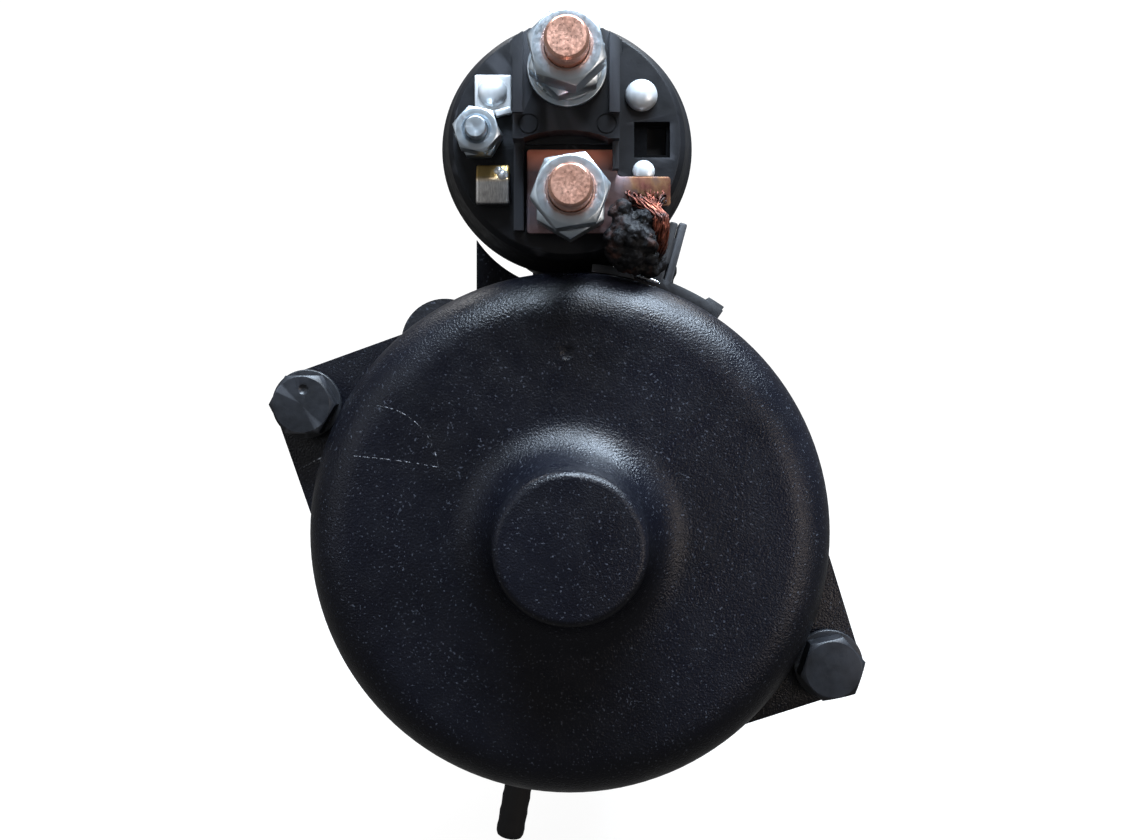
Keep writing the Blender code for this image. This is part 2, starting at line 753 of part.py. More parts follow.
def solenoid():
    axis = (SOL_X, SOL_Z)
    rear, front = CAN_Y
    inner, front_inner = CAN_R - CAN_WALL, CAN_FRONT_R - CAN_WALL
    stem_hole_r, end_thick = 5.6, 4.7
    can = [
        (stem_hole_r, front),
        (CAN_FRONT_R, front),
        (CAN_FRONT_R, CAN_STEP_Y),
        (CAN_R, CAN_STEP_Y - CAN_WALL),
        (CAN_R, rear),
        (inner, rear),
        (inner, CAN_STEP_Y - CAN_WALL - 1.0),
        (front_inner, CAN_STEP_Y - 1.0),
        (front_inner, front - end_thick),
        (stem_hole_r, front - end_thick),
    ]
    turned("solenoid_can", can, "black_paint", axis, 40)
    coil_outer = front_inner - 0.4
    ring("solenoid_coil", PLUNGER_R + 0.6, coil_outer, -155.5, -50.5, "varnish", axis, 32)
    core_bore, core_r = 2.7, PLUNGER_R + 0.2
    flange_r = inner - 0.4
    core = [(core_bore, -122.2), (core_r, -122.2), (core_r, -156.0), (flange_r, -156.0)]
    core += [(flange_r, -161.0), (core_bore, -161.0)]
    turned("solenoid_core", core, "steel", axis, 32)
    plunger(axis)
    contact(axis)
    solenoid_cap(axis)
    solenoid_saddle()


def plunger(axis):
    stem_r, stem_end, body_end = 5.0, -52.0, -109.7
    profile = [(0, -19), (stem_r, -19), (stem_r, stem_end), (PLUNGER_R, stem_end)]
    profile += [(PLUNGER_R, body_end), (0, body_end)]
    made = turned("plunger", profile, "steel", axis, 32)
    pad_y = PIVOT_Y + (SOL_Z - PIVOT_Z) * sin(LEVER_TILT)
    x, z = axis
    join(made, box("hook_block", (x - 7, pad_y - 9, z - 8), (x + 7, pad_y + 8, z + 7)))
    cut(made, box("hook_slot", (-3.5, pad_y - 4.5, z - 20), (3.5, pad_y + 4.5, z + 5)))
    start, end = -42.8, pad_y - 10.4
    steps_each = 10
    count = SPRING_TURNS * steps_each
    coil = []
    for i in range(count + 1):
        turn = 2 * pi * i / steps_each
        place = (x + SPRING_R * cos(turn), start + (end - start) * i / count, z + SPRING_R * sin(turn))
        coil.append(place)
    wire("plunger_spring", coil, SPRING_WIRE_R, "zinc")


def contact(axis):
    ring("contact_rod", 0, 2.2, -165.4, -118.9, "steel", axis, 16)
    ring("contact_disc", 2.5, 17.0, -164.2, -162.2, "copper", axis, 32)


def solenoid_cap(axis):
    x, z = axis
    made = turned(
        "solenoid_cap",
        [
            (0, -170.4),
            (22.2, -170.4),
            (22.2, -164.3),
            (26.0, -164.3),
            (26.0, -157.0),
            (RING_R, -157.0),
            (RING_R, RING_Y),
            (28.0, -163.0),
            (26.6, -170.5),
            (CAP_FACE_R, CAP_FACE_Y),
            (0, CAP_FACE_Y),
        ],
        "bakelite",
        axis,
        40,
    )
    left, right = BLOCK_X
    root = CAP_FACE_Y + 0.4
    join(made, box("terminal_block", (left, BLOCK_Y, z - 1.2), (right, root, z + 22.6)))
    rib_y = (BLOCK_Y - RIB_PROUD, BLOCK_Y + 1)
    for side, x0 in (("left", left), ("right", right - RIB_WIDE)):
        low, high = (x0, rib_y[0], z + RIB_Z[0]), (x0 + RIB_WIDE, rib_y[1], z + RIB_Z[1])
        rib = box("barrier_rib_" + side, low, high)
        join(made, rib)
    join(made, box("plate_rib", (left, CAP_FACE_Y - 3.6, z - 20.5), (left + RIB_WIDE, root, z - 1)))
    cut(made, box("square_recess", (14.3, CAP_FACE_Y - 3.6, z - 3.9), (22.3, CAP_FACE_Y + 1.6, z + 4.1)))
    for name, centre, stud_r in (
        ("battery", BATTERY_STUD, STUD_R),
        ("motor", MOTOR_STUD, STUD_R),
        ("switch", SWITCH_STUD, SWITCH_STUD_R),
    ):
        cut(made, ring(name + "_stud_hole", 0, stud_r + GAP, -200, -164, at=centre, steps=24))
    terminals(z)
    return made


def stud(name, centre, tip_y):
    """A stud with its head inside the cap and a chamfered tip behind it."""
    head_front, head_rear = STUD_HEAD_Y
    profile = [
        (0, head_front),
        (STUD_HEAD_R, head_front),
        (STUD_HEAD_R, head_rear),
        (STUD_R, head_rear),
        (STUD_R, tip_y + 2 * STUD_CHAMFER),
        (STUD_R - STUD_CHAMFER, tip_y),
        (0, tip_y),
    ]
    return turned(name, profile, "copper", centre, 24)


def nuts(name, centre, stud_r, across_flats, front_y, space=GAP):
    """Two nuts on a stud, the lower one's front face at front_y, with a space between them."""
    y = front_y
    for place, long, turn in zip(("lower", "upper"), NUT_LONG[name], NUT_TURNS[name]):
        outlines = [hexagon(across_flats, centre, turn), circle(stud_r + GAP, centre, 20)]
        plate(f"{name}_nut_{place}", outlines, y - long, y, "zinc")
        y -= long + space


def terminals(z):
    stud("battery_stud", BATTERY_STUD, BATTERY_TIP_Y)
    stud("motor_stud", MOTOR_STUD, MOTOR_TIP_Y)
    hole = STUD_R + GAP
    y = BLOCK_Y - GAP
    for name, radius, thick in (("battery_washer", 8.6, 1.6), ("battery_spring_washer", 7.6, 2.0)):
        ring(name, hole, radius, y - thick, y, "zinc", BATTERY_STUD, 28)
        y -= thick + GAP
    nuts("battery", BATTERY_STUD, STUD_R, BIG_NUT_AF, y)
    terminal_plate(z)
    nuts("motor", MOTOR_STUD, STUD_R, BIG_NUT_AF, CAP_FACE_Y - 2 * GAP - PLATE_THICK, MOTOR_NUT_SPACE)
    ring("switch_stud", 0, SWITCH_STUD_R, SWITCH_TIP_Y, CAP_FACE_Y + 1.6, "zinc", SWITCH_STUD, 16)
    nuts("switch", SWITCH_STUD, SWITCH_STUD_R, SMALL_NUT_AF, CAP_FACE_Y - GAP)
    coil_ends(z)


def terminal_plate(z):
    """The copper plate under the motor stud's nut, with a tab to the right for the lead."""
    left, right, tab_right = -9.6, 10.5, 22.3
    top, bottom = z - 2.4, z - 21.0
    tab_top, tab_bottom = z - 8.4, z - 15.0
    outline = [
        (left, bottom),
        (right, bottom),
        (right, tab_bottom),
        (tab_right, tab_bottom),
        (tab_right, tab_top),
        (right, tab_top),
        (right, top),
        (left, top),
    ]
    y = CAP_FACE_Y - GAP
    hole = circle(STUD_R + GAP, MOTOR_STUD, 20)
    plate("motor_terminal_plate", [outline, hole], y - PLATE_THICK, y, "copper")


def coil_ends(z):
    y = CAP_FACE_Y - GAP
    made = box("coil_tab_upper_left", (-21.2, y - 1.0, z + 5.4), (-13.0, y, z + 14.3), "tin")
    join(made, ring("solder_dome", 0, 3.3, y - 2.2, y - 0.5, at=(-17.2, z + 10.5), steps=20))
    box("coil_tab_lower_left", (-20.8, y - 3.0, z - 14.6), (-13.4, y, z - 5.7), "zinc")
    turned(
        "coil_rivet_right",
        [(0, y), (3.6, y), (3.4, y - 1.2), (2.2, y - 2.2), (0, y - 2.6)],
        "tin",
        (15.9, z + 9.9),
        20,
    )


def solenoid_saddle():
    """A steel cradle on the yoke that follows the solenoid's round side."""
    cradle_r = RING_R + 0.6
    base_r = YOKE_R + GAP
    rise = degrees(acos(SADDLE_HALF_WIDE / cradle_r))
    spread = degrees(acos(SADDLE_HALF_WIDE / base_r))
    top = arc(cradle_r, 360 - rise, 180 + rise, 16, (0, SOL_Z))
    bottom = arc(base_r, 180 - spread, spread, 14)
    plate("solenoid_saddle", [top + bottom], *SADDLE_Y, "black_paint")


# --- Lead, clip and drain ---------------------------------------------------------------------


def lead_direction():
    return (cos(radians(LEAD_ANGLE)), 0, sin(radians(LEAD_ANGLE)))


def lead_hole_centre(radius):
    x, _, z = lead_direction()
    return (radius * x, LEAD_HOLE_Y, radius * z)


def drain_direction():
    return (cos(radians(DRAIN_ANGLE)), 0, sin(radians(DRAIN_ANGLE)))


def drain_point(radius):
    x, _, z = drain_direction()
    return (radius * x, DRAIN_Y, radius * z)


def motor_lead():
    """The lead from the tab over the cover's rim to the grommet on the yoke, with its insulation and clip."""
    grommet_top = lead_hole_centre(YOKE_R + 5.3)
    past_cover = [(x, y, SOL_Z - drop) for x, y, drop in LEAD_ROUTE]
    route = past_cover + [(grommet_top[0] + 0.3, LEAD_HOLE_Y, grommet_top[2] + 0.8)]
    wire("motor_lead", route, LEAD_R, "copper")
    grommet = rod("lead_grommet", lead_hole_centre(YOKE_R + 2.8), GROMMET_R, 4.4, lead_direction(), "rubber")
    neck_r = LEAD_HOLE_R - 0.4
    join(grommet, rod("grommet_neck", lead_hole_centre(YOKE_R - 1.6), neck_r, 6.0, lead_direction()))
    round_edges(box("lead_insulator", *INSULATION, "rubber"), 1.6)


def round_edges(made, width, segments=2):
    bevel = made.modifiers.new("round", "BEVEL")
    bevel.width = width * MM
    bevel.segments = segments
    bevel.limit_method = "ANGLE"


def lead_clip():
    """A strap lying on the cover, with two upright bars that hold the lead."""
    inner = COVER_R + GAP
    strap = sector(inner, inner + CLIP_THICK, CLIP_ANGLE, CLIP_HALF_ANGLE, 6)
    made = plate("lead_clip", [strap], -166, -150, "black_steel")
    lean = Matrix.Rotation(CLIP_LEAN, 4, "Y")
    for number, (x, bottom, top) in enumerate(CLIP_BARS, 1):
        low = (x - CLIP_BAR_HALF_WIDE, CLIP_BAR_Y[0], bottom)
        high = (x + CLIP_BAR_HALF_WIDE, CLIP_BAR_Y[1], top)
        join(made, box(f"clip_bar_{number}", low, high, turn=lean))
    tie_x = (CLIP_BARS[0][0], CLIP_BARS[1][0])
    join(made, box("clip_tie", (tie_x[0], -165.9, 60.5), (tie_x[1], -164.4, 66.5), turn=lean))
    return made


def drain_tube():
    middle_r = YOKE_R + 0.4 + DRAIN_LONG / 2
    made = rod("drain_tube", drain_point(middle_r), DRAIN_R, DRAIN_LONG, drain_direction(), "rubber")
    join(made, rod("drain_neck", drain_point(YOKE_R - 1.5), DRAIN_NECK_R, 8, drain_direction()))
    return made


rear_cover()
through_bolts()
yoke()
pole_shoes()
field_winding()
brush_gear()
armature()
bushes()
drive_housing()
drive()
shift_lever()
solenoid()
motor_lead()
lead_clip()
drain_tube()
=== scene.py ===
"""Looks of the starter motor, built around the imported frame.

The mesh code works in millimetres, and loose() scales a finished shape to metres. Materials, lights and the camera
are in metres.
"""

from math import acos, cos, degrees, pi, radians, sin, sqrt

import bmesh
import bpy
from mathutils import Matrix, Vector, noise


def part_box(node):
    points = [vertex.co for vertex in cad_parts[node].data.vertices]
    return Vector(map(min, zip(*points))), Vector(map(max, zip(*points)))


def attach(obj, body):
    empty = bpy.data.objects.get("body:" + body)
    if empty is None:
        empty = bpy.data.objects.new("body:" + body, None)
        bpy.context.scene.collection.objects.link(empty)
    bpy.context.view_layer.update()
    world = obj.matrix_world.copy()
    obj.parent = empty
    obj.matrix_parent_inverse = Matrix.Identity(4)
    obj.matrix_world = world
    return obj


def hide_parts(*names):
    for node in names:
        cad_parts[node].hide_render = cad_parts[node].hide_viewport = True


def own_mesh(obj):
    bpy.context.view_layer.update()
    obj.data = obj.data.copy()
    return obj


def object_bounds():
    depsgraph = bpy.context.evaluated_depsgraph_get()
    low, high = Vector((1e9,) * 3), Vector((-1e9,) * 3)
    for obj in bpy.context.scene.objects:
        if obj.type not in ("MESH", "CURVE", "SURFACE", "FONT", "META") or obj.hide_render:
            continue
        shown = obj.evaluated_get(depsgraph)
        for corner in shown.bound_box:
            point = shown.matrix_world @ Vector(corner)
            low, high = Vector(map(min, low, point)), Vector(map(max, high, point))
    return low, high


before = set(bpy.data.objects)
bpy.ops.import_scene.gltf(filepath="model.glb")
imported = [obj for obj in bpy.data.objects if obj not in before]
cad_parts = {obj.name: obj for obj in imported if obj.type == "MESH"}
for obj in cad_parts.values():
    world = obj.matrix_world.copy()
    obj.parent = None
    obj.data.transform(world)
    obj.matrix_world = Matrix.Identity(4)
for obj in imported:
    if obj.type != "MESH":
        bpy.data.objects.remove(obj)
CAD_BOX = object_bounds()

MM = 0.001
FINE = 128  # steps round a large turned piece
BODY = "motor"
BOLT_HOLE_R = 4.3
STUD_HOLE_R = 4.8

noise.seed_set(7)  # noise_vector's offsets come from the clock otherwise


# --- Places read from the frame ---


def low(node):
    return Vector(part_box(node)[0]) / MM


def high(node):
    return Vector(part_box(node)[1]) / MM


def ends(node):
    return low(node), high(node)


def middle(node):
    return (low(node) + high(node)) / 2


def radial(angle):
    return Vector((cos(radians(angle)), 0, sin(radians(angle))))


def at(angle, radius, y):
    """The point at an angle and a radius about the shaft's axis, and at y along it."""
    return radial(angle) * radius + Vector((0, y, 0))


# --- Node material tools ---


class Nodes:
    """A material's node tree, with short calls for the nodes used here."""

    def __init__(self, name):
        self.material = bpy.data.materials.new(name)
        self.material.use_nodes = True
        self.tree = self.material.node_tree
        self.shader = self.tree.nodes["Principled BSDF"]
        self.place = self.tree.nodes.new("ShaderNodeTexCoord").outputs["Object"]

    def link(self, source, target):
        self.tree.links.new(source, target)

    def node(self, kind, **settings):
        made = self.tree.nodes.new(kind)
        for key, value in settings.items():
            setattr(made, key, value)
        return made

    def noise(self, scale, detail=4.0, rough=0.55, stretch=None):
        made = self.node("ShaderNodeTexNoise")
        made.inputs["Scale"].default_value = scale
        made.inputs["Detail"].default_value = detail
        made.inputs["Roughness"].default_value = rough
        self.link(self.stretched(stretch), made.inputs["Vector"])
        return made.outputs["Fac"]

    def stretched(self, stretch):
        if stretch is None:
            return self.place
        mapping = self.node("ShaderNodeMapping")
        mapping.inputs["Scale"].default_value = stretch
        self.link(self.place, mapping.inputs["Vector"])
        return mapping.outputs["Vector"]

    def ramp(self, factor, stops):
        made = self.node("ShaderNodeValToRGB")
        points = made.color_ramp.elements
        while len(points) < len(stops):
            points.new(0.5)
        for point, (place, colour) in zip(points, stops):
            point.position = place
            point.color = colour if len(colour) == 4 else (*colour, 1.0)
        self.link(factor, made.inputs["Fac"])
        return made.outputs["Color"]

    def grey(self, factor, low_at, high_at, start=0.0, end=1.0):
        """The factor's stretch from low_at to high_at, as values from start to end."""
        made = self.node("ShaderNodeMapRange")
        made.inputs["From Min"].default_value = low_at
        made.inputs["From Max"].default_value = high_at
        made.inputs["To Min"].default_value = start
        made.inputs["To Max"].default_value = end
        self.link(factor, made.inputs["Value"])
        return made.outputs["Result"]

    def mix(self, factor, first, second, mode="MIX"):
        made = self.node("ShaderNodeMix", data_type="RGBA", blend_type=mode)
        for value, socket in ((factor, 0), (first, 6), (second, 7)):
            if isinstance(value, bpy.types.NodeSocket):
                self.link(value, made.inputs[socket])
            elif socket == 0:
                made.inputs[socket].default_value = value
            else:
                made.inputs[socket].default_value = (*value, 1.0)
        return made.outputs[2]

    def times(self, first, second):
        made = self.node("ShaderNodeMath", operation="MULTIPLY")
        self.link(first, made.inputs[0])
        self.link(second, made.inputs[1])
        return made.outputs["Value"]

    def arc_mark(self, centre, radius, low_x, high_x, low_z, half_wide):
        """1 on a thin arc round a point, between two values of x and above a value of z."""
        away = self.node("ShaderNodeVectorMath", operation="DISTANCE")
        self.link(self.place, away.inputs[0])
        away.inputs[1].default_value = centre
        off = self.node("ShaderNodeMath", operation="SUBTRACT")
        self.link(away.outputs["Value"], off.inputs[0])
        off.inputs[1].default_value = radius
        size = self.node("ShaderNodeMath", operation="ABSOLUTE")
        self.link(off.outputs["Value"], size.inputs[0])
        line = self.grey(size.outputs["Value"], half_wide, half_wide * 0.4)
        split = self.node("ShaderNodeSeparateXYZ")
        self.link(self.place, split.inputs["Vector"])
        line = self.times(line, self.grey(split.outputs["X"], low_x, low_x + MM))
        line = self.times(line, self.grey(split.outputs["X"], high_x + MM, high_x))
        return self.times(line, self.grey(split.outputs["Z"], low_z, low_z + MM))

    def edges(self, start=0.52, end=0.60):
        """1 on sharp outer edges, from the surface's pointiness."""
        geometry = self.node("ShaderNodeNewGeometry")
        return self.grey(geometry.outputs["Pointiness"], start, end)

    def bump(self, height, strength, distance, under=None):
        made = self.node("ShaderNodeBump")
        made.inputs["Strength"].default_value = strength
        made.inputs["Distance"].default_value = distance
        self.link(height, made.inputs["Height"])
        if under is not None:
            self.link(under, made.inputs["Normal"])
        return made.outputs["Normal"]

    def finish(self, colour, roughness, normal=None, metallic=0.0, specular=0.5):
        self.link(colour, self.shader.inputs["Base Color"])
        self.link(roughness, self.shader.inputs["Roughness"])
        self.shader.inputs["Metallic"].default_value = metallic
        self.shader.inputs["Specular IOR Level"].default_value = specular
        if normal is not None:
            self.link(normal, self.shader.inputs["Normal"])
        return self.material


def black_paint(name, tone=(0.0017, 0.0019, 0.0034), grain=1500, depth=1.0, gloss=0.29, shine=0.2, scratched=False):
    """Satin black paint with a fine grain, pale bluish specks painted in as sparkle highlights, and bare grey
    showing on sharp edges, with scratches when asked.
    """
    n = Nodes(name)
    broad = n.noise(28, 3)
    cloud = n.noise(160, 4)
    grit = n.noise(grain * 1.5, 2, 0.5)
    pale = tuple(c * 1.9 for c in tone)
    base = n.mix(n.grey(broad, 0.3, 0.7), tone, pale)
    worn = n.mix(n.grey(cloud, 0.45, 0.75, 0.0, 0.5), (0, 0, 0), n.edges(0.56, 0.68), "MULTIPLY")
    colour = n.mix(worn, base, (0.030, 0.031, 0.035))
    # Pale bluish specks mixed into the colour are painted sparkle: painted highlights of the paint's grain.
    painted_sparkle = n.grey(n.noise(grain, 1, 0.3, (1.3, 1.3, 1.3)), 0.66, 0.76)
    colour = n.mix(painted_sparkle, colour, (0.030, 0.033, 0.042))
    rough = n.grey(cloud, 0.3, 0.7, gloss - 0.06, gloss + 0.12)
    normal = n.bump(grit, depth, 0.00015)
    normal = n.bump(n.noise(420, 2), 0.05, 0.00025, normal)
    if scratched:
        broken = n.grey(n.noise(900, 4, 0.7), 0.50, 0.60)
        for x, y, z, radius, low_x, high_x, low_z, half_wide in SCRATCHES:
            mark = n.arc_mark((x, y, z), radius, low_x, high_x, low_z, half_wide)
            colour = n.mix(n.times(mark, broken), colour, (0.20, 0.21, 0.23))
    return n.finish(colour, rough, normal, specular=shine)


def smooth_black(name, tone=(0.006, 0.0065, 0.008), gloss=0.32):
    """Black-finished steel: smoother than the castings, with handling marks."""
    n = Nodes(name)
    cloud = n.noise(220, 5)
    colour = n.mix(n.grey(cloud, 0.35, 0.7), tone, tuple(c * 2.2 for c in tone))
    colour = n.mix(n.edges(0.54, 0.66), colour, (0.040, 0.042, 0.048))
    rough = n.grey(n.noise(700, 3), 0.3, 0.7, gloss, gloss + 0.18)
    normal = n.bump(n.noise(1600, 3), 0.25, 0.00008)
    return n.finish(colour, rough, normal, metallic=0.1, specular=0.3)


def moulded_black(name):
    """Black thermoset plastic with a faint flow mottle and a satin skin."""
    n = Nodes(name)
    flow = n.noise(90, 4, 0.6, (1.0, 0.5, 1.8))
    colour = n.mix(n.grey(flow, 0.35, 0.7), (0.0035, 0.0038, 0.0048), (0.008, 0.0085, 0.0105))
    colour = n.mix(n.edges(0.54, 0.64), colour, (0.025, 0.026, 0.030))
    rough = n.grey(n.noise(500, 3), 0.3, 0.7, 0.42, 0.58)
    normal = n.bump(n.noise(1300, 2), 0.3, 0.00008)
    return n.finish(colour, rough, normal, specular=0.16)


def rubber(name, tone=(0.005, 0.005, 0.006)):
    n = Nodes(name)
    cloud = n.noise(300, 5)
    colour = n.mix(n.grey(cloud, 0.35, 0.75), tone, (0.012, 0.012, 0.013))
    rough = n.grey(cloud, 0.3, 0.7, 0.6, 0.8)
    normal = n.bump(n.noise(1800, 3), 0.4, 0.0001)
    return n.finish(colour, rough, normal, specular=0.3)


def copper(name, dark=(0.42, 0.17, 0.10), bright=(0.95, 0.54, 0.42), stain=0.30, gloss=0.30, grain=None):
    """Bare copper: a bright face with darker tarnish in patches and fine marks."""
    n = Nodes(name)
    patches = n.noise(170, 5, 0.6)
    fine = n.noise(1500, 4, 0.6, grain)
    colour = n.ramp(patches, ((0.08, dark), (0.20 + stain, bright), (0.85, (0.97, 0.62, 0.50))))
    colour = n.mix(n.grey(fine, 0.35, 0.65, 0.0, 0.3), colour, (0.60, 0.30, 0.20))
    rough = n.grey(fine, 0.3, 0.7, gloss - 0.06, gloss + 0.16)
    normal = n.bump(fine, 0.25, 0.00008)
    return n.finish(colour, rough, normal, metallic=1.0)


def heated_copper(name):
    """The terminal plate: orange-red along its top, dulled to pink grey below, with heat tints towards the tab."""
    n = Nodes(name)
    patches = n.noise(120, 5, 0.6)
    fine = n.noise(1400, 4, 0.6, (1, 1, 0.25))
    dull = n.ramp(patches, ((0.34, (0.14, 0.075, 0.070)), (0.5, (0.20, 0.14, 0.145)), (0.66, (0.15, 0.13, 0.15))))
    top = high("motor_terminal_plate").z * MM
    split = n.node("ShaderNodeSeparateXYZ")
    n.link(n.place, split.inputs["Vector"])
    warm = n.grey(split.outputs["Z"], top - 5.0 * MM, top - 1.0 * MM)
    colour = n.mix(warm, dull, (1.0, 0.36, 0.24))
    tab = n.grey(split.outputs["X"], 11.0 * MM, 14.0 * MM)
    gold = n.ramp(patches, ((0.40, (0.10, 0.035, 0.028)), (0.52, (0.15, 0.08, 0.042)), (0.64, (0.09, 0.06, 0.065))))
    colour = n.mix(tab, colour, gold)
    rough = n.grey(fine, 0.3, 0.7, 0.34, 0.52)
    return n.finish(colour, rough, n.bump(fine, 0.4, 0.00008), metallic=0.85)


def zinc(name, yellow=0.35, gloss=0.32):
    """Zinc plating: blue-white with straw passivation in patches, and fine turning marks."""
    n = Nodes(name)
    patches = n.noise(130, 4, 0.55)
    fine = n.noise(900, 4, 0.6, (1, 6, 1))
    colour = n.ramp(patches, ((0.42, (0.36, 0.42, 0.47)), (0.60, (0.42, 0.46, 0.48)), (0.74, (0.46, 0.41, 0.22))))
    colour = n.mix(1.0 - yellow, colour, (0.40, 0.45, 0.50))
    colour = n.mix(n.edges(0.55, 0.66), colour, (0.60, 0.64, 0.68))
    rough = n.grey(fine, 0.3, 0.7, gloss - 0.02, gloss + 0.14)
    normal = n.bump(fine, 0.12, 0.00005)
    return n.finish(colour, rough, normal, metallic=1.0)


def solder(name):
    n = Nodes(name)
    patches = n.noise(260, 4)
    colour = n.mix(n.grey(patches, 0.35, 0.7), (0.46, 0.48, 0.50), (0.62, 0.64, 0.66))
    rough = n.grey(n.noise(900, 3), 0.3, 0.7, 0.28, 0.42)
    normal = n.bump(patches, 0.35, 0.0002)
    return n.finish(colour, rough, normal, metallic=0.5)


def bare_steel(name, tone=(0.42, 0.42, 0.43), gloss=0.3, turning=True):
    """Machined steel with turning marks round Y, and an oily film in patches."""
    n = Nodes(name)
    marks = n.noise(1.0, 3, 0.6, (200, 4200, 200) if turning else (900, 900, 900))
    film = n.noise(80, 4)
    colour = n.mix(n.grey(film, 0.4, 0.75, 0.0, 0.7), tone, tuple(c * 0.55 for c in tone))
    colour = n.mix(n.edges(0.53, 0.62), colour, (0.62, 0.62, 0.63))
    rough = n.grey(marks, 0.3, 0.7, gloss - 0.05, gloss + 0.2)
    normal = n.bump(marks, 0.3, 0.00005)
    return n.finish(colour, rough, normal, metallic=1.0)


def winding(name, across=(1.0, 1.0, 1.0), pitch=900):
    """Varnished copper wire: close parallel ridges with a glossy red-brown skin."""
    n = Nodes(name)
    waves = n.node("ShaderNodeTexWave", bands_direction="DIAGONAL")
    waves.inputs["Scale"].default_value = pitch
    waves.inputs["Distortion"].default_value = 0.6
    n.link(n.stretched(across), waves.inputs["Vector"])
    ridge = waves.outputs["Fac"]
    blot = n.noise(140, 4)
    colour = n.mix(ridge, (0.10, 0.025, 0.010), (0.42, 0.14, 0.05))
    colour = n.mix(n.grey(blot, 0.45, 0.8, 0.0, 0.6), colour, (0.14, 0.05, 0.02))
    rough = n.grey(blot, 0.3, 0.7, 0.22, 0.4)
    return n.finish(colour, rough, n.bump(ridge, 0.7, 0.0004), metallic=0.3)


def mottled(name, texture, between, colours, gloss, relief, metallic=0.0, specular=0.5):
    """One noise that mixes two colours and also gives the roughness and the bump."""
    n = Nodes(name)
    grit = n.noise(*texture)
    colour = n.mix(n.grey(grit, *between), *colours)
    rough = n.grey(grit, 0.3, 0.7, *gloss)
    return n.finish(colour, rough, n.bump(grit, *relief), metallic, specular)


def bronze(name):
    colours = (0.34, 0.19, 0.07), (0.56, 0.36, 0.16)
    return mottled(name, (2200, 3), (0.35, 0.65), colours, (0.35, 0.55), (0.4, 0.0001), metallic=1.0)


def carbon(name):
    colours = (0.030, 0.026, 0.025), (0.14, 0.085, 0.06)
    return mottled(name, (1700, 4, 0.6), (0.4, 0.7), colours, (0.45, 0.7), (0.4, 0.0001), metallic=0.3)


def plain_casting(name):
    colours = (0.05, 0.05, 0.052), (0.13, 0.13, 0.135)
    return mottled(name, (700, 5, 0.6), (0.35, 0.7), colours, (0.5, 0.7), (0.6, 0.0003), metallic=0.6)


# Near-black matt with almost no reflection: painted shade that darkens the cap's square recess.
def recess_shade_black(name):
    colours = (0.0008, 0.0008, 0.001), (0.002, 0.002, 0.0024)
    return mottled(name, (900, 4), (0.35, 0.7), colours, (0.85, 0.95), (0.5, 0.0002), specular=0.05)


# --- Mesh tools ---


def rounded(points, radii, steps=4):
    """A profile whose corners are replaced by arcs. radii gives each corner's radius, and 0 keeps it sharp."""
    made = []
    for i, (point, radius) in enumerate(zip(points, radii)):
        corner = Vector(point)
        if radius == 0 or i in (0, len(points) - 1):
            made.append(corner)
            continue
        before = (Vector(points[i - 1]) - corner).normalized()
        after = (Vector(points[i + 1]) - corner).normalized()
        half = acos(max(-1, min(1, before.dot(after)))) / 2
        reach = radius / max(1e-6, abs(sin(half) / cos(half)))
        centre = corner + (before + after).normalized() * (radius / sin(half))
        start = corner + before * reach - centre
        end = corner + after * reach - centre
        whole = start.angle(end)
        for step in range(steps + 1):
            share = step / steps
            weight_start = sin((1 - share) * whole) / sin(whole)
            weight_end = sin(share * whole) / sin(whole)
            made.append(centre + start * weight_start + end * weight_end)
    return [tuple(p) for p in made]


def lathe_mesh(profile, steps=64, centre=(0.0, 0.0)):
    """A bmesh of (radius, y) points turned about the Y axis through centre (x, z). Ends off the axis are joined."""
    shape = bmesh.new()
    rings = []
    for radius, y in profile:
        if radius < 1e-4:
            rings.append([shape.verts.new((centre[0], y, centre[1]))])
            continue
        turn = [2 * pi * i / steps for i in range(steps)]
        rings.append([
            shape.verts.new((centre[0] + radius * cos(a), y, centre[1] + radius * sin(a))) for a in turn
        ])
    pairs = list(zip(rings, rings[1:]))
    if len(rings[0]) > 1 and len(rings[-1]) > 1:
        pairs.append((rings[-1], rings[0]))
    for first, second in pairs:
        for i in range(steps):
            j = (i + 1) % steps
            if len(first) == 1 and len(second) == 1:
                break
            if len(first) == 1:
                shape.faces.new((first[0], second[j], second[i]))
            elif len(second) == 1:
                shape.faces.new((first[i], first[j], second[0]))
            else:
                shape.faces.new((first[i], first[j], second[j], second[i]))
    bmesh.ops.recalc_face_normals(shape, faces=shape.faces)
    return shape


def prism_mesh(outline, y0, y1):
    """A bmesh of an (x, z) outline extruded from y0 to y1."""
    shape = bmesh.new()
    base = shape.faces.new([shape.verts.new((x, y0, z)) for x, z in outline])
    grown = bmesh.ops.extrude_face_region(shape, geom=[base])
    moved = [v for v in grown["geom"] if isinstance(v, bmesh.types.BMVert)]
    bmesh.ops.translate(shape, vec=(0, y1 - y0, 0), verts=moved)
    bmesh.ops.recalc_face_normals(shape, faces=shape.faces)
    return shape


def box_mesh(corner, other):
    shape = bmesh.new()
    bmesh.ops.create_cube(shape, size=1.0)
    size = [b - a for a, b in zip(corner, other)]
    middle_point = [(a + b) / 2 for a, b in zip(corner, other)]
    bmesh.ops.scale(shape, vec=size, verts=shape.verts)
    bmesh.ops.translate(shape, vec=middle_point, verts=shape.verts)
    return shape


def rod_mesh(start, end, radius, steps=32, end_radius=None):
    """A cylinder or cone between two points."""
    start, end = Vector(start), Vector(end)
    along = end - start
    shape = bmesh.new()
    turn = Vector((0, 0, 1)).rotation_difference(along).to_matrix().to_4x4()
    bmesh.ops.create_cone(
        shape,
        cap_ends=True,
        segments=steps,
        radius1=radius,
        radius2=radius if end_radius is None else end_radius,
        depth=along.length,
        matrix=Matrix.Translation((start + end) / 2) @ turn,
    )
    return shape


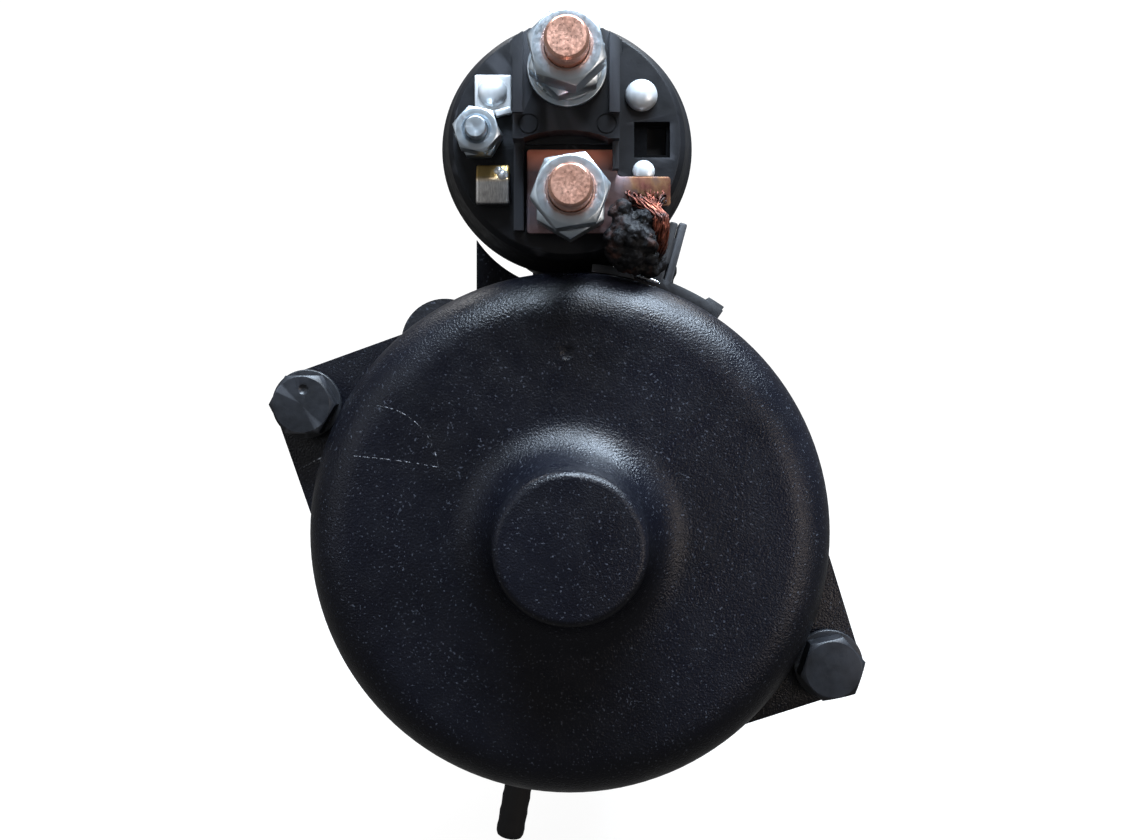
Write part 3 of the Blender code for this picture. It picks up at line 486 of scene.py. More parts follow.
def loose(name, shape, unit=MM):
    """An object made from a bmesh in millimetres, not yet part of the model."""
    bmesh.ops.scale(shape, vec=(unit, unit, unit), verts=shape.verts)
    mesh = bpy.data.meshes.new(name)
    shape.to_mesh(mesh)
    shape.free()
    made = bpy.data.objects.new(name, mesh)
    bpy.context.scene.collection.objects.link(made)
    return made


def settle(made):
    """Applies the object's modifiers to its mesh."""
    bpy.context.view_layer.update()
    graph = bpy.context.evaluated_depsgraph_get()
    mesh = bpy.data.meshes.new_from_object(made.evaluated_get(graph))
    made.modifiers.clear()
    old = made.data
    made.data = mesh
    bpy.data.meshes.remove(old)
    return made


def combine(made, tools, operation):
    """Applies a Boolean with each tool in turn, and removes the tools."""
    for tool in tools:
        change = made.modifiers.new("shape", "BOOLEAN")
        change.operation = operation
        change.solver = "EXACT"
        change.object = tool
        settle(made)
        bpy.data.objects.remove(tool, do_unlink=True)
    return made


def cut(made, *shapes):
    """Takes each shape out of the object."""
    return combine(made, [loose("cutter", shape) for shape in shapes], "DIFFERENCE")


def join(made, *shapes):
    """Fuses each shape with the object."""
    return combine(made, [loose("added", shape) for shape in shapes], "UNION")


def hole_along_y(centre, y0, y1, radius, steps=32):
    """A rod along Y, to cut a hole with. The centre is a vector whose y is left aside."""
    return rod_mesh((centre.x, y0, centre.z), (centre.x, y1, centre.z), radius, steps)


def ball(centre, radius, segments, rings):
    shape = bmesh.new()
    bmesh.ops.create_uvsphere(shape, u_segments=segments, v_segments=rings, radius=radius)
    bmesh.ops.translate(shape, vec=centre, verts=shape.verts)
    return shape


def soften(made, width, segments=2, angle=35):
    """Rounds the sharp edges and applies the result."""
    bevel = made.modifiers.new("edge", "BEVEL")
    bevel.width = width * MM
    bevel.segments = segments
    bevel.limit_method = "ANGLE"
    bevel.angle_limit = radians(angle)
    bevel.use_clamp_overlap = True
    return settle(made)


def shade(made, angle=32):
    for face in made.data.polygons:
        face.use_smooth = True
    made.data.set_sharp_from_angle(angle=radians(angle))
    return made


def piece(made, material, stands_for=(), body=BODY, angle=32):
    """Finishes a piece: shading, material, the body it rides on and the CAD nodes it stands for."""
    made.data.materials.clear()
    made.data.materials.append(material)
    shade(made, angle)
    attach(made, body)
    if stands_for:
        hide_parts(*stands_for)
    return made


def stand_in(made, material, node, angle=32):
    """A piece that stands for one CAD node, which is hidden."""
    return piece(made, material, [node], angle=angle)


def arc_points(radius, start, end, steps, centre=(0.0, 0.0)):
    angles = [radians(start + (end - start) * i / steps) for i in range(steps + 1)]
    return [(centre[0] + radius * cos(a), centre[1] + radius * sin(a)) for a in angles]


def eared_outline(body_r, angles, circle_r, ear_r):
    """A round body with two ears joined by straight flanks."""
    spread = degrees(acos((body_r - ear_r) / circle_r))
    left, right = angles
    outline = []
    for ear, following in ((left, right), (right, left + 360)):
        centre = (circle_r * cos(radians(ear)), circle_r * sin(radians(ear)))
        outline += arc_points(ear_r, ear - spread, ear + spread, 20, centre)
        outline += arc_points(body_r, ear + spread, following - spread, 40)[1:-1]
    return outline


# --- Rear cover ---

SCRATCHES = (  # centre x, y, z, radius, lowest x, highest x, lowest z and half-width of each arc
    (-0.0430, -0.1812, 0.0140, 0.0145, -0.0460, -0.0280, 0.0150, 0.00011),
    (-0.0350, -0.1812, 0.0200, 0.0050, -0.0304, -0.0292, 0.0190, 0.00022),
    (-0.0570, -0.1812, -0.1321, 0.1500, -0.0490, -0.0290, 0.0050, 0.00012),
    (-0.0356, -0.1640, -0.0290, 0.0500, -0.0630, -0.0560, 0.0050, 0.00020),
)
PAINT = black_paint("cover_paint", scratched=True)
BOLT_ANGLES = (154.6, 332.4)
BOLT_CIRCLE = 66.5


def rear_cover():
    """The casting: rounded rim, slightly domed face, flared hub, and two ears for the through bolts."""
    cover_r = high("rear_cover").z
    front = high("rear_cover").y
    hub_front = low("rear_cover").y
    rim_y, face_y = -170.0, -181.0
    rim_round = rim_y - face_y
    flare_r, hub_r, flare_y = 27.0, 16.3, -194.0
    profile = [(cover_r - 5.2, front), (cover_r - 0.6, front), (cover_r, front - 0.6)]
    for i in range(15):
        turn = radians(90 * i / 14)
        profile.append((cover_r - rim_round + rim_round * sin(pi / 2 - turn), rim_y - rim_round * sin(turn)))
    for i in range(1, 9):
        share = i / 9
        radius = cover_r - rim_round + (flare_r - cover_r + rim_round) * share
        profile.append((radius, face_y - 0.8 * share**1.5))
    rim_end = face_y - 0.8
    for i in range(13):
        turn = radians(90 * i / 12)
        profile.append((flare_r - (flare_r - hub_r) * sin(turn), flare_y + (rim_end - flare_y) * cos(turn)))
    hub = [(hub_r, flare_y), (hub_r - 0.5, hub_front), (0, hub_front)]
    profile += rounded(hub, (0, 1.9, 0), 6)[1:]
    inside = [
        (0, hub_front + 3.4), (9.3, hub_front + 3.4), (9.3, -180), (14, -177), (cover_r - 13.2, -176),
        (cover_r - 5.2, -168),
    ]
    body = loose("rear_cover_casting", lathe_mesh(inside + profile, FINE))
    ears = loose("ears", prism_mesh(eared_outline(55, BOLT_ANGLES, BOLT_CIRCLE, 7.7), -164, -150))
    cut(ears, rod_mesh((0, -168, 0), (0, -140, 0), 54.0, FINE))
    cut(ears, *(hole_along_y(radial(angle) * BOLT_CIRCLE, -170, -140, BOLT_HOLE_R) for angle in BOLT_ANGLES))
    combine(body, [ears], "UNION")
    soften(body, 0.9, 3, 40)
    cut(body, ball((-0.6, -184.85, 40), 4, 32, 24))
    stand_in(body, PAINT, "rear_cover", angle=28)


# --- Fasteners ---


def hexagon_points(across_flats, centre, turn):
    corner = across_flats / sqrt(3)
    angles = [radians(turn + 60 * i) for i in range(6)]
    return [(centre[0] + corner * cos(a), centre[1] + corner * sin(a)) for a in angles]


def hex_solid(name, centre, across_flats, y0, y1, turn, chamfer_rear=True, chamfer_front=True):
    """A hexagonal prism whose corners are turned off at 30 degrees at one or both ends.

    The prism starts out longer than the turned shape, so that the two share no plane when they are intersected.
    """
    corner = across_flats / sqrt(3)
    flat = across_flats / 2 * 0.96
    drop = (corner * 1.02 - flat) * 0.577
    made = loose(name, prism_mesh(hexagon_points(across_flats, centre, turn), y0 - 1, y1 + 1))
    profile = [(0, y0)]
    profile += [(flat, y0), (corner * 1.02, y0 + drop)] if chamfer_rear else [(corner * 1.1, y0)]
    profile += [(corner * 1.02, y1 - drop), (flat, y1)] if chamfer_front else [(corner * 1.1, y1)]
    profile.append((0, y1))
    return combine(made, [loose("turned", lathe_mesh(profile, 72, centre))], "INTERSECT")


def hex_nut(node, across, turn, bore, material):
    """A nut with chamfered corners and a countersunk bore, in the CAD nut's place."""
    lowest, highest = ends(node)
    centre = (middle(node).x, middle(node).z)
    made = hex_solid(node + "_hex", centre, across, lowest.y, highest.y, turn)
    sink = 0.7
    profile = [
        (0, lowest.y - sink), (bore + 2 * sink, lowest.y - sink), (bore, lowest.y + sink),
        (bore, highest.y - sink), (bore + 2 * sink, highest.y + sink), (0, highest.y + sink),
    ]
    cut(made, lathe_mesh(profile, 48, centre))
    soften(made, 0.18, 2, 18)
    stand_in(made, material, node, angle=20)


def washer(node, inner, material, chamfer=0.3, split=False):
    lowest, highest = ends(node)
    centre = (middle(node).x, middle(node).z)
    outer = (highest.z - lowest.z) / 2
    corners = [(inner, lowest.y), (inner, highest.y), (outer, highest.y), (outer, lowest.y), (inner, lowest.y)]
    profile = rounded(corners, (0, chamfer, chamfer, chamfer, 0), 3)[:-1]
    made = loose(node + "_turned", lathe_mesh(profile, 72, centre))
    if split:
        x, z = centre
        gap = box_mesh((x - 0.5, lowest.y - 1, z - outer - 1), (x + 0.5, highest.y + 1, z))
        bmesh.ops.rotate(gap, cent=(x, 0, z), matrix=Matrix.Rotation(radians(40), 3, "Y"), verts=gap.verts)
        cut(made, gap)
    stand_in(made, material, node, angle=40)


def through_bolts():
    black = smooth_black("bolt_black")
    for side, angle, turn in (("left", BOLT_ANGLES[0], 0), ("right", BOLT_ANGLES[1], 12)):
        node = "through_bolt_" + side
        point = radial(angle) * BOLT_CIRCLE
        centre = (point.x, point.z)
        start, end = low(node).y, high(node).y
        head_front = start + 5.3
        made = hex_solid(node + "_forged", centre, 13, start, head_front, turn, chamfer_front=False)
        if side == "left":
            cut(made, ball((centre[0] + 0.4, start - 1.1, centre[1] + 3.4), 1.6, 24, 16))
        shank_profile = [(0, head_front - 1), (4, head_front - 1)]
        y = -70
        shank_profile.append((4, y))
        pitch = 1.25
        while y + pitch < end - 1:
            shank_profile += [(3.95, y), (3.35, y + pitch / 2)]
            y += pitch
        shank_profile += [(3.6, end - 0.6), (3.0, end), (0, end)]
        join(made, lathe_mesh(shank_profile, 32, centre))
        soften(made, 0.22, 2, 24)
        stand_in(made, black, node, angle=20)
        washer("bolt_washer_" + side, BOLT_HOLE_R, black)


NUT_SIZES = {"battery": (14.6, 4.6), "motor": (14.6, 4.6), "switch": (9.2, 2.5)}  # across flats, bore radius
NUT_TURNS = {"battery": (78, 43), "motor": (30, 9), "switch": (0, 48)}  # lower and upper nut, degrees


def terminal_fasteners():
    plated = zinc("nut_zinc")
    tinted = zinc("washer_zinc", yellow=0.8, gloss=0.3)
    bare = copper("stud_copper")
    for stud, turns in NUT_TURNS.items():
        across, bore = NUT_SIZES[stud]
        hex_nut(f"{stud}_nut_lower", across, turns[0], bore, tinted)
        hex_nut(f"{stud}_nut_upper", across, turns[1], bore, plated)
    washer("battery_washer", STUD_HOLE_R, tinted)
    washer("battery_spring_washer", STUD_HOLE_R, tinted, split=True)
    threaded_stud("battery_stud", 4.5, bare)
    threaded_stud("motor_stud", 4.5, bare)
    threaded_stud("switch_stud", 2.4, plated)


def threaded_stud(node, radius, material):
    """A stud with fine thread grooves, a plain tip and a chamfered end with a faint turned centre."""
    start, end = low(node).y, high(node).y
    centre = (middle(node).x, middle(node).z)
    chamfer = radius * 0.12
    pitch = radius * 0.28
    tip = start + 5.0 if radius > 3 else start + 2.0
    profile = [(0, end), (radius * 0.95, end)]
    y = end - 1
    while y - pitch > tip:
        profile += [(radius, y), (radius * 0.93, y - pitch / 2)]
        y -= pitch
    profile += [(radius, tip), (radius, start + 1.9 * chamfer), (radius - 0.75 * chamfer, start + 0.35 * chamfer)]
    profile += [(radius - 1.1 * chamfer, start), (0.25 * radius, start), (0, start + 0.12)]
    made = loose(node + "_turned", lathe_mesh(profile, 64, centre))
    stand_in(made, material, node, angle=24)


# --- Yoke, drain tube and pole screws ---

POLE_ANGLES = (45, 135, 225, 315)
POLE_SCREW_Y = {"rear": -104, "front": -70}


def yoke():
    lowest, highest = ends("yoke")
    outer = highest.z
    inner = outer - 5
    corners = [(inner, lowest.y), (inner, highest.y), (outer, highest.y), (outer, lowest.y), (inner, lowest.y)]
    groove = 0.35
    profile = rounded(corners, (0, 0.3, 0.8, 0.8, 0), 3)[:-1]
    made = loose("yoke_tube", lathe_mesh(profile, FINE))
    cut(made, box_mesh((-0.6, lowest.y - 1, -outer - 1), (0.6, highest.y + 1, -outer + groove)))
    for angle in POLE_ANGLES:
        for y in POLE_SCREW_Y.values():
            cut(made, rod_mesh(at(angle, outer + 1, y), at(angle, outer - 4.2, y), 8.2, 48, 4.4))
    soften(made, 0.25, 2, 40)
    stand_in(made, PAINT, "yoke", angle=30)
    dark = black_paint("screw_paint", grain=900, gloss=0.42)
    for number, angle in enumerate(POLE_ANGLES, 1):
        for end_name, y in POLE_SCREW_Y.items():
            pole_screw(f"pole_screw_{number}_{end_name}", angle, y, outer, dark)


def pole_screw(name, angle, y, outer, material):
    """A countersunk screw with a wide slot, painted over."""
    top = at(angle, outer - 0.5, y)
    made = loose(name, rod_mesh(top, at(angle, outer - 3.9, y), 6.9, 48, 3.9))
    slot = box_mesh((-8, -0.9, -0.8), (8, 0.9, 0.8))
    turn = Matrix.Rotation(radians(-angle + 90), 4, "Y") @ Matrix.Rotation(radians(20 * y), 4, "Z")
    bmesh.ops.transform(slot, matrix=Matrix.Translation(top) @ turn, verts=slot.verts)
    cut(made, slot)
    soften(made, 0.3, 2, 30)
    piece(made, material, angle=35)


DRAIN_ANGLE = 259.7


def drain_tube():
    """A straight rubber tube with a thick, faintly ribbed wall and a root ring on the yoke."""
    angle = DRAIN_ANGLE
    out = radial(angle)
    y = middle("drain_tube").y
    root = high("yoke").z + 0.4
    tip = -low("drain_tube").z / -out.z - 0.6
    outer, inner = 3.85, 2.2
    profile = [(inner, root), (outer + 1.4, root), (outer + 1.4, root + 2.5), (outer, root + 3.6)]
    steps = 24
    for i in range(steps + 1):
        profile.append((outer - 0.1 * sin(i * 2.1), root + 4 + (tip - 1.2 - root - 4) * i / steps))
    profile += [(outer - 0.4, tip - 0.3), (outer - 0.9, tip), (inner + 0.4, tip), (inner, tip - 0.5)]
    shape = lathe_mesh(profile, 40)
    turn = Matrix.Rotation(radians(90 - angle), 4, "Y") @ Matrix.Rotation(radians(90), 4, "X")
    bmesh.ops.transform(shape, matrix=Matrix.Translation((0, y, 0)) @ turn, verts=shape.verts)
    made = loose("drain_tube_rubber", shape)
    stand_in(made, rubber("tube_rubber"), "drain_tube", angle=40)


# --- Routes and tubes ---


def smooth_route(points, between=8):
    """A Catmull-Rom route through the points."""
    places = [Vector(p) for p in points]
    places = [places[0] * 2 - places[1]] + places + [places[-1] * 2 - places[-2]]
    route = []
    for i in range(1, len(places) - 2):
        a, b, c, d = places[i - 1 : i + 3]
        for step in range(between):
            t = step / between
            curve = b * 2 + (c - a) * t + (a * 2 - b * 5 + c * 4 - d) * t**2 + (b * 3 - a - c * 3 + d) * t**3
            route.append(curve / 2)
    route.append(places[-2])
    return route


def frames_along(route):
    """A point, a side and an up direction at each place of a route, turning as little as it can."""
    made = []
    side = None
    for i, place in enumerate(route):
        along = (route[min(i + 1, len(route) - 1)] - route[max(i - 1, 0)]).normalized()
        if side is None:
            side = along.orthogonal()
        side = (side - along * side.dot(along)).normalized()
        made.append((place, side, along.cross(side)))
    return made


def add_tube(shape, route, radius_at, steps=20):
    """Adds a closed tube along a route. radius_at takes the share of the way along and the angle."""
    rings = []
    frames = frames_along(route)
    for i, (place, side, up) in enumerate(frames):
        share = i / (len(frames) - 1)
        turn = [2 * pi * j / steps for j in range(steps)]
        rings.append([
            shape.verts.new(place + (side * cos(a) + up * sin(a)) * radius_at(share, a)) for a in turn
        ])
    for first, second in zip(rings, rings[1:]):
        for j in range(steps):
            k = (j + 1) % steps
            shape.faces.new((first[j], first[k], second[k], second[j]))
    shape.faces.new(list(reversed(rings[0])))
    shape.faces.new(rings[-1])
    return shape


def lump(name, spheres, grain, depth, voxel):
    """Overlapping balls fused into one skin, then roughened by noise."""
    shape = bmesh.new()
    for place, radius in spheres:
        ball = bmesh.ops.create_icosphere(shape, subdivisions=3, radius=radius)
        bmesh.ops.translate(shape, vec=place, verts=ball["verts"])
    made = loose(name, shape)
    skin = made.modifiers.new("skin", "REMESH")
    skin.mode = "VOXEL"
    skin.voxel_size = voxel * MM
    settle(made)
    places = [v.co.copy() for v in made.data.vertices]
    normals = [v.normal.copy() for v in made.data.vertices]
    for vertex, place, normal in zip(made.data.vertices, places, normals):
        swell = noise.fractal(place * grain, 0.8, 2.0, 4)
        vertex.co = place + normal * (swell * depth * MM)
    return made


# --- Solenoid ---

PLUNGER_SPRING_Y = -43.7  # where the plunger's spring stands on the can's front wall
BRUSH_SPRING_SEAT_R = 45.3
SOL = middle("contact_rod")
SOL_X, SOL_Z = SOL.x, SOL.z
CAP_FACE_Y = high("switch_nut_lower").y + 0.3
CAP = moulded_black("cap_plastic")


def solenoid_can():
    rear, front = low("solenoid_can").y, high("solenoid_can").y
    outer = (high("solenoid_can").z - low("solenoid_can").z) / 2
    front_outer = high("drive_housing").z - SOL_Z
    wall = 3
    step_y = -112
    corners = [
        (outer - wall, rear), (outer, rear), (outer, step_y - wall), (front_outer, step_y),
        (front_outer, front), (5.6, front), (5.6, front - 4.7), (front_outer - wall, front - 4.7),
        (front_outer - wall, step_y - 1), (outer - wall, step_y - wall - 1), (outer - wall, rear),
    ]
    profile = rounded(corners, (0, 0.3, 2, 1.2, 0.6, 0.3, 0, 0, 0, 0, 0), 4)[:-1]
    made = loose("solenoid_can_steel", lathe_mesh(profile, FINE, (SOL_X, SOL_Z)))
    stand_in(made, black_paint("can_paint", grain=1100, gloss=0.4), "solenoid_can", angle=30)


def solenoid_cap():
    """The moulded end cap: a rimmed disc, a raised block with two ribs round the battery stud, and its marks."""
    x, z = SOL_X, SOL_Z
    face = CAP_FACE_Y
    corners = [
        (0, face + 2), (22.2, face + 2), (22.2, -164.3), (26, -164.3), (26, -157), (29, -157), (29, -160),
        (28, -163), (26.6, -170.5), (25.4, face), (0, face),
    ]
    profile = rounded(corners, (0, 0, 0, 0, 0.4, 0.5, 0.9, 1.4, 1.2, 0.5, 0), 4)
    made = loose("solenoid_cap_moulding", lathe_mesh(profile, FINE, (x, z)))
    block = low("solenoid_cap").y + 1.5
    left, right, rib = -12.4, 10.7, 2.2
    root = face + 0.4
    adds = [box_mesh((left, block, z - 1.2), (right, root, z + 22.6))]
    for x0 in (left, right - rib):
        adds.append(box_mesh((x0, block - 1.5, z + 4.2), (x0 + rib, block + 1, z + 22.5)))
    adds.append(box_mesh((left, face - 3.6, z - 20.5), (left + rib, root, z - 1)))
    adds.append(box_mesh((right - rib * 0.6, face - 5.5, z - 7.2), (right, root, z - 1)))
    adds.append(box_mesh((16.4, face + 1.4, z - 4.2), (22.3, face + 6.4, z + 4.4)))
    join(made, *adds)
    cuts = [box_mesh((14.3, face - 3, z - 3.9), (22.3, face + 1.5, z + 4.1))]
    for side, x0 in ((-1, left), (1, right)):
        wedge = [(x0 + side, z + 19.4), (x0 + side, z + 24), (x0 - side * 5.6, z + 24)]
        cuts.append(prism_mesh(wedge, block - 3, root))
    cuts.append(box_mesh((17.2, face - 3, z - 3.2), (21.6, face + 5.4, z + 3.4)))
    arch = arc_points(26, 110.5, 69.5, 16, (-0.85, z - 25.4))
    arch += [(right - rib * 0.7, z - 3), (left + rib * 0.9, z - 3)]
    cuts.append(prism_mesh(arch, block - 3, face - 1.6))
    cut(made, *cuts)
    soften(made, 0.45, 3, 38)
    deep = block + 0.25
    groove = [(1.9, block - 1), (2.25, block - 1), (2.25, deep), (1.9, deep)]
    for mark_x in (-9.0, 7.9):
        cut(made, lathe_mesh(groove, 40, (mark_x, z + 1.9)))
    for node, radius in (("battery_stud", STUD_HOLE_R), ("motor_stud", STUD_HOLE_R), ("switch_stud", 2.6)):
        cut(made, hole_along_y(middle(node), -200, -166, radius, 48))
    stand_in(made, CAP, "solenoid_cap", angle=30)
    # A near-black sheet laid on the square recess's floor: painted shade, so the whole recess reads dark.
    shade_sheet = box_mesh((14.35, face + 1.05, z - 3.85), (22.25, face + 1.5, z + 4.05))
    well = box_mesh((17.2, face, z - 3.2), (21.6, face + 3, z + 3.4))
    piece(cut(loose("recess_floor", shade_sheet), well), recess_shade_black("recess_painted_shade"), angle=30)


def terminal_plate():
    """Copper plate with softened corners, and a tab that carries the lead."""
    lowest, highest = ends("motor_terminal_plate")
    z = SOL_Z
    corner_r = 0.8
    shape = [
        (lowest.x, lowest.z), (10.5, lowest.z), (10.5, z - 15.0), (highest.x, z - 15.0), (highest.x, z - 8.4),
        (10.5, z - 8.4), (10.5, highest.z), (lowest.x, highest.z), (lowest.x, lowest.z),
    ]
    start = (0.0, lowest.z)
    closed = [start] + shape[1:] + [start]
    outline = rounded(closed, [0] + [corner_r] * (len(closed) - 2) + [0], 4)[:-1]
    made = loose("terminal_plate_copper", prism_mesh(outline, lowest.y, highest.y))
    cut(made, hole_along_y(middle("motor_stud"), -190, -165, STUD_HOLE_R, 48))
    soften(made, 0.3, 2, 40)
    stand_in(made, heated_copper("plate_copper"), "motor_terminal_plate", angle=40)


def dome_mesh(centre, radius, height, base_y):
    """A low solder dome standing on a face at base_y."""
    profile = [(0, base_y), (radius, base_y)]
    for i in range(1, 9):
        turn = radians(90 * i / 8)
        profile.append((radius * cos(turn), base_y - height * sin(turn)))
    return lathe_mesh(profile, 48, centre)


def coil_ends():
    """The solenoid coils' ends: two soldered tabs at the left and two domes at the right."""
    bright = solder("solder_tin")
    z = SOL_Z
    base = CAP_FACE_Y - 0.3
    tab = loose("upper_tab", box_mesh((-21.2, base - 1, z + 5.4), (-13, base, z + 14.3)))
    soften(tab, 0.35, 2, 40)
    lip = box_mesh((-16.6, base - 1.7, z + 5.2), (-12.9, base - 0.4, z + 6.8))
    tilt = Matrix.Rotation(radians(-14), 3, "Y")
    bmesh.ops.rotate(lip, cent=(-14.7, base - 1, z + 6), matrix=tilt, verts=lip.verts)
    lip_piece = soften(loose("lip", lip), 0.3, 2, 40)
    dome = loose("dome", dome_mesh((-17.2, z + 10.5), 3.3, 1.9, base - 0.9))
    combine(tab, [dome, lip_piece], "UNION")
    stand_in(tab, bright, "coil_tab_upper_left", angle=50)
    low_node, high_node = low("coil_tab_lower_left"), high("coil_tab_lower_left")
    side = [
        (base, high_node.z), (base - 1.0, high_node.z), (low_node.y, high_node.z - 3.4),
        (low_node.y, low_node.z), (base, low_node.z),
    ]
    folded = bmesh.new()
    rings = [[folded.verts.new((x, y, zz)) for y, zz in side] for x in (low_node.x, high_node.x)]
    folded.faces.new(rings[0])
    folded.faces.new(list(reversed(rings[1])))
    for i in range(len(side)):
        j = (i + 1) % len(side)
        folded.faces.new((rings[0][i], rings[1][i], rings[1][j], rings[0][j]))
    bmesh.ops.recalc_face_normals(folded, faces=folded.faces)
    made = soften(loose("folded_tab", folded), 0.5, 3, 20)
    stand_in(made, tinted_tab("tab_steel"), "coil_tab_lower_left", angle=50)
    top = low_node.y
    spots = [((-14.9, top + 0.9, z - 8.3), 1.35), ((-15.8, top + 1.5, z - 7.4), 1.2)]
    blob = lump("solder_glint", spots, 400, 0.15, 0.15)
    piece(blob, bright, angle=60)
    rivet = loose("right_dome", dome_mesh((15.9, z + 9.9), 3.6, 2.6, base))
    stand_in(rivet, bright, "coil_rivet_right", angle=60)
    lower = loose("lower_right_dome", dome_mesh((16.4, z - 7.0), 2.5, 1.5, base + 0.2))
    cut(lower, box_mesh((10, base - 5, z - 16), (24, base + 1, z - 8.2)))
    piece(lower, bright, angle=60)


def tinted_tab(name):
    """Tinned steel, gold-brown where it was heated at its top, grey and brushed below."""
    n = Nodes(name)
    split = n.node("ShaderNodeSeparateXYZ")
    n.link(n.place, split.inputs["Vector"])
    top = high("coil_tab_lower_left").z * MM
    heat = n.grey(split.outputs["Z"], top - 4.2 * MM, top - 2.6 * MM)
    fine = n.noise(700, 4, 0.6, (6, 1, 1))
    cloudy = n.mix(n.grey(fine, 0.35, 0.65), (0.30, 0.29, 0.29), (0.55, 0.54, 0.52))
    colour = n.mix(heat, cloudy, (0.62, 0.42, 0.16))
    return n.finish(colour, n.grey(fine, 0.3, 0.7, 0.28, 0.45), n.bump(fine, 0.4, 0.0001), metallic=1.0)


def solenoid_saddle():
    lowest, highest = ends("solenoid_saddle")
    half_wide = highest.x
    cradle_r, base_r = 29.6, high("yoke").z + 0.3
    rise, spread = degrees(acos(half_wide / cradle_r)), degrees(acos(half_wide / base_r))
    outline = arc_points(cradle_r, 360 - rise, 180 + rise, 48, (0, SOL_Z))
    outline += arc_points(base_r, 180 - spread, spread, 48)
    made = loose("saddle_steel", prism_mesh(outline, lowest.y, highest.y))
    soften(made, 0.35, 2, 40)
    stand_in(made, black_paint("saddle_paint", grain=1000, gloss=0.42), "solenoid_saddle")


# --- Springs ---


def coil_route(start, end, radius, turns, closed=0.6):
    """A helix between two points, with its last turn at each end wound close."""
    start, end = Vector(start), Vector(end)
    along = (end - start).normalized()
    side = along.orthogonal().normalized()
    up = along.cross(side)
    steps = turns * 20
    route = []
    for i in range(steps + 1):
        turn = 2 * pi * i / 20
        share = i / steps
        easing = closed / turns
        rise = min(1.0, max(0.0, (share - easing) / (1 - 2 * easing)))
        place = start + (end - start) * rise
        route.append(place + (side * cos(turn) + up * sin(turn)) * radius)
    return route


def springs():
    plated = zinc("spring_zinc", yellow=0.5)
    spring = bmesh.new()
    start, end = (SOL_X, PLUNGER_SPRING_Y, SOL_Z), (SOL_X, high("plunger_spring").y - 0.9, SOL_Z)
    add_tube(spring, coil_route(start, end, 7.6, 6), lambda share, a: 0.88, 10)
    made = loose("plunger_spring_wire", spring)
    stand_in(made, plated, "plunger_spring", angle=60)
    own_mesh(made)
    for number, angle in enumerate((0, 90, 180, 270), 1):
        y = middle(f"brush_{number}").y
        route = coil_route(at(angle, 34.6, y), at(angle, BRUSH_SPRING_SEAT_R - 0.4, y), 3.2, 7)
        coil = add_tube(bmesh.new(), route, lambda share, a: 0.4, 8)
        made = loose(f"brush_spring_{number}", coil)
        piece(made, plated, angle=60)
        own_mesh(made)


# --- Lead, insulation and clip ---


LEAD_POINTS = (  # x, y and the drop below the solenoid's axis
    (18.8, -178.8, 12.5), (19.6, -179.2, 16.5), (19.9, -178.6, 20.5), (19.3, -175.4, 24.2),
    (18.2, -169.8, 25.5), (17.6, -163.5, 25.8), (18.3, -156.0, 25.8), (21.0, -148.0, 25.6),
    (23.6, -139.0, 25.4), (24.8, -132.5, 25.8), (24.3, -128.6, 27.6),
)
STEPS_BETWEEN = 10
BARE_STEPS = 34  # the route's steps that are bare before the sleeve starts
STRANDS = 46
GOLDEN_ANGLE = 2.39996


def lead_route():
    route = [(x, y, SOL_Z - drop) for x, y, drop in LEAD_POINTS]
    grommet = middle("lead_grommet")
    route.append(tuple(grommet * 1.06 + Vector((0, -0.06 * grommet.y, 0))))
    return smooth_route(route, STEPS_BETWEEN)


def motor_lead():
    """A stranded copper lead: bare, spread and partly melted on the tab, and in a black sleeve over the cover."""
    route = lead_route()
    frames = frames_along(route[: BARE_STEPS + 6])
    shape = bmesh.new()
    for i in range(STRANDS):
        ring_share = sqrt((i + 0.5) / STRANDS)
        first = i * GOLDEN_ANGLE
        end_x = (12.4 + 8.8 * ((i * 0.618) % 1))
        end_z = SOL_Z - (11.6 + 3.2 * ((i * 0.414) % 1))
        own = []
        for k, (place, side, up) in enumerate(frames):
            angle = first + 0.05 * k
            frizz = noise.noise_vector(Vector((i * 3.1, k * 0.55, 0.7))) * 0.55
            spot = place + (side * cos(angle) + up * sin(angle)) * (1.75 * ring_share) + frizz * 0.6
            gather = min(1.0, k / 15)
            gather = gather * gather * (3 - 2 * gather)
            start = Vector((end_x, -175.2 - 1.4 * ring_share, end_z - 0.35 * k)) + frizz
            own.append(start.lerp(spot, gather))
        add_tube(shape, own, lambda share, a: 0.27, 6)
    bare = loose("lead_strands", shape)
    piece(bare, scorched_copper("strand_copper"), angle=60)
    sleeve = bmesh.new()

    def sleeve_radius(share, angle):
        rough = noise.noise(Vector((cos(angle) * 2, sin(angle) * 2, share * 60)))
        frayed = max(0.0, 1 - share * 12)
        return (2.22 + 0.08 * rough - 0.4 * frayed * (0.5 + rough))

    add_tube(sleeve, route[BARE_STEPS:], sleeve_radius, 32)
    cover_piece = loose("lead_sleeve", sleeve)
    piece(cover_piece, rubber("sleeve_rubber"), ["motor_lead"], angle=50)


def scorched_copper(name):
    n = Nodes(name)
    patches = n.noise(260, 5, 0.65)
    stops = ((0.42, (0.012, 0.006, 0.005)), (0.55, (0.09, 0.025, 0.016)), (0.70, (0.32, 0.10, 0.06)))
    colour = n.ramp(patches, stops)
    fine = n.noise(2400, 3)
    return n.finish(colour, n.grey(fine, 0.3, 0.7, 0.35, 0.6), n.bump(fine, 0.5, 0.0001), metallic=0.8)


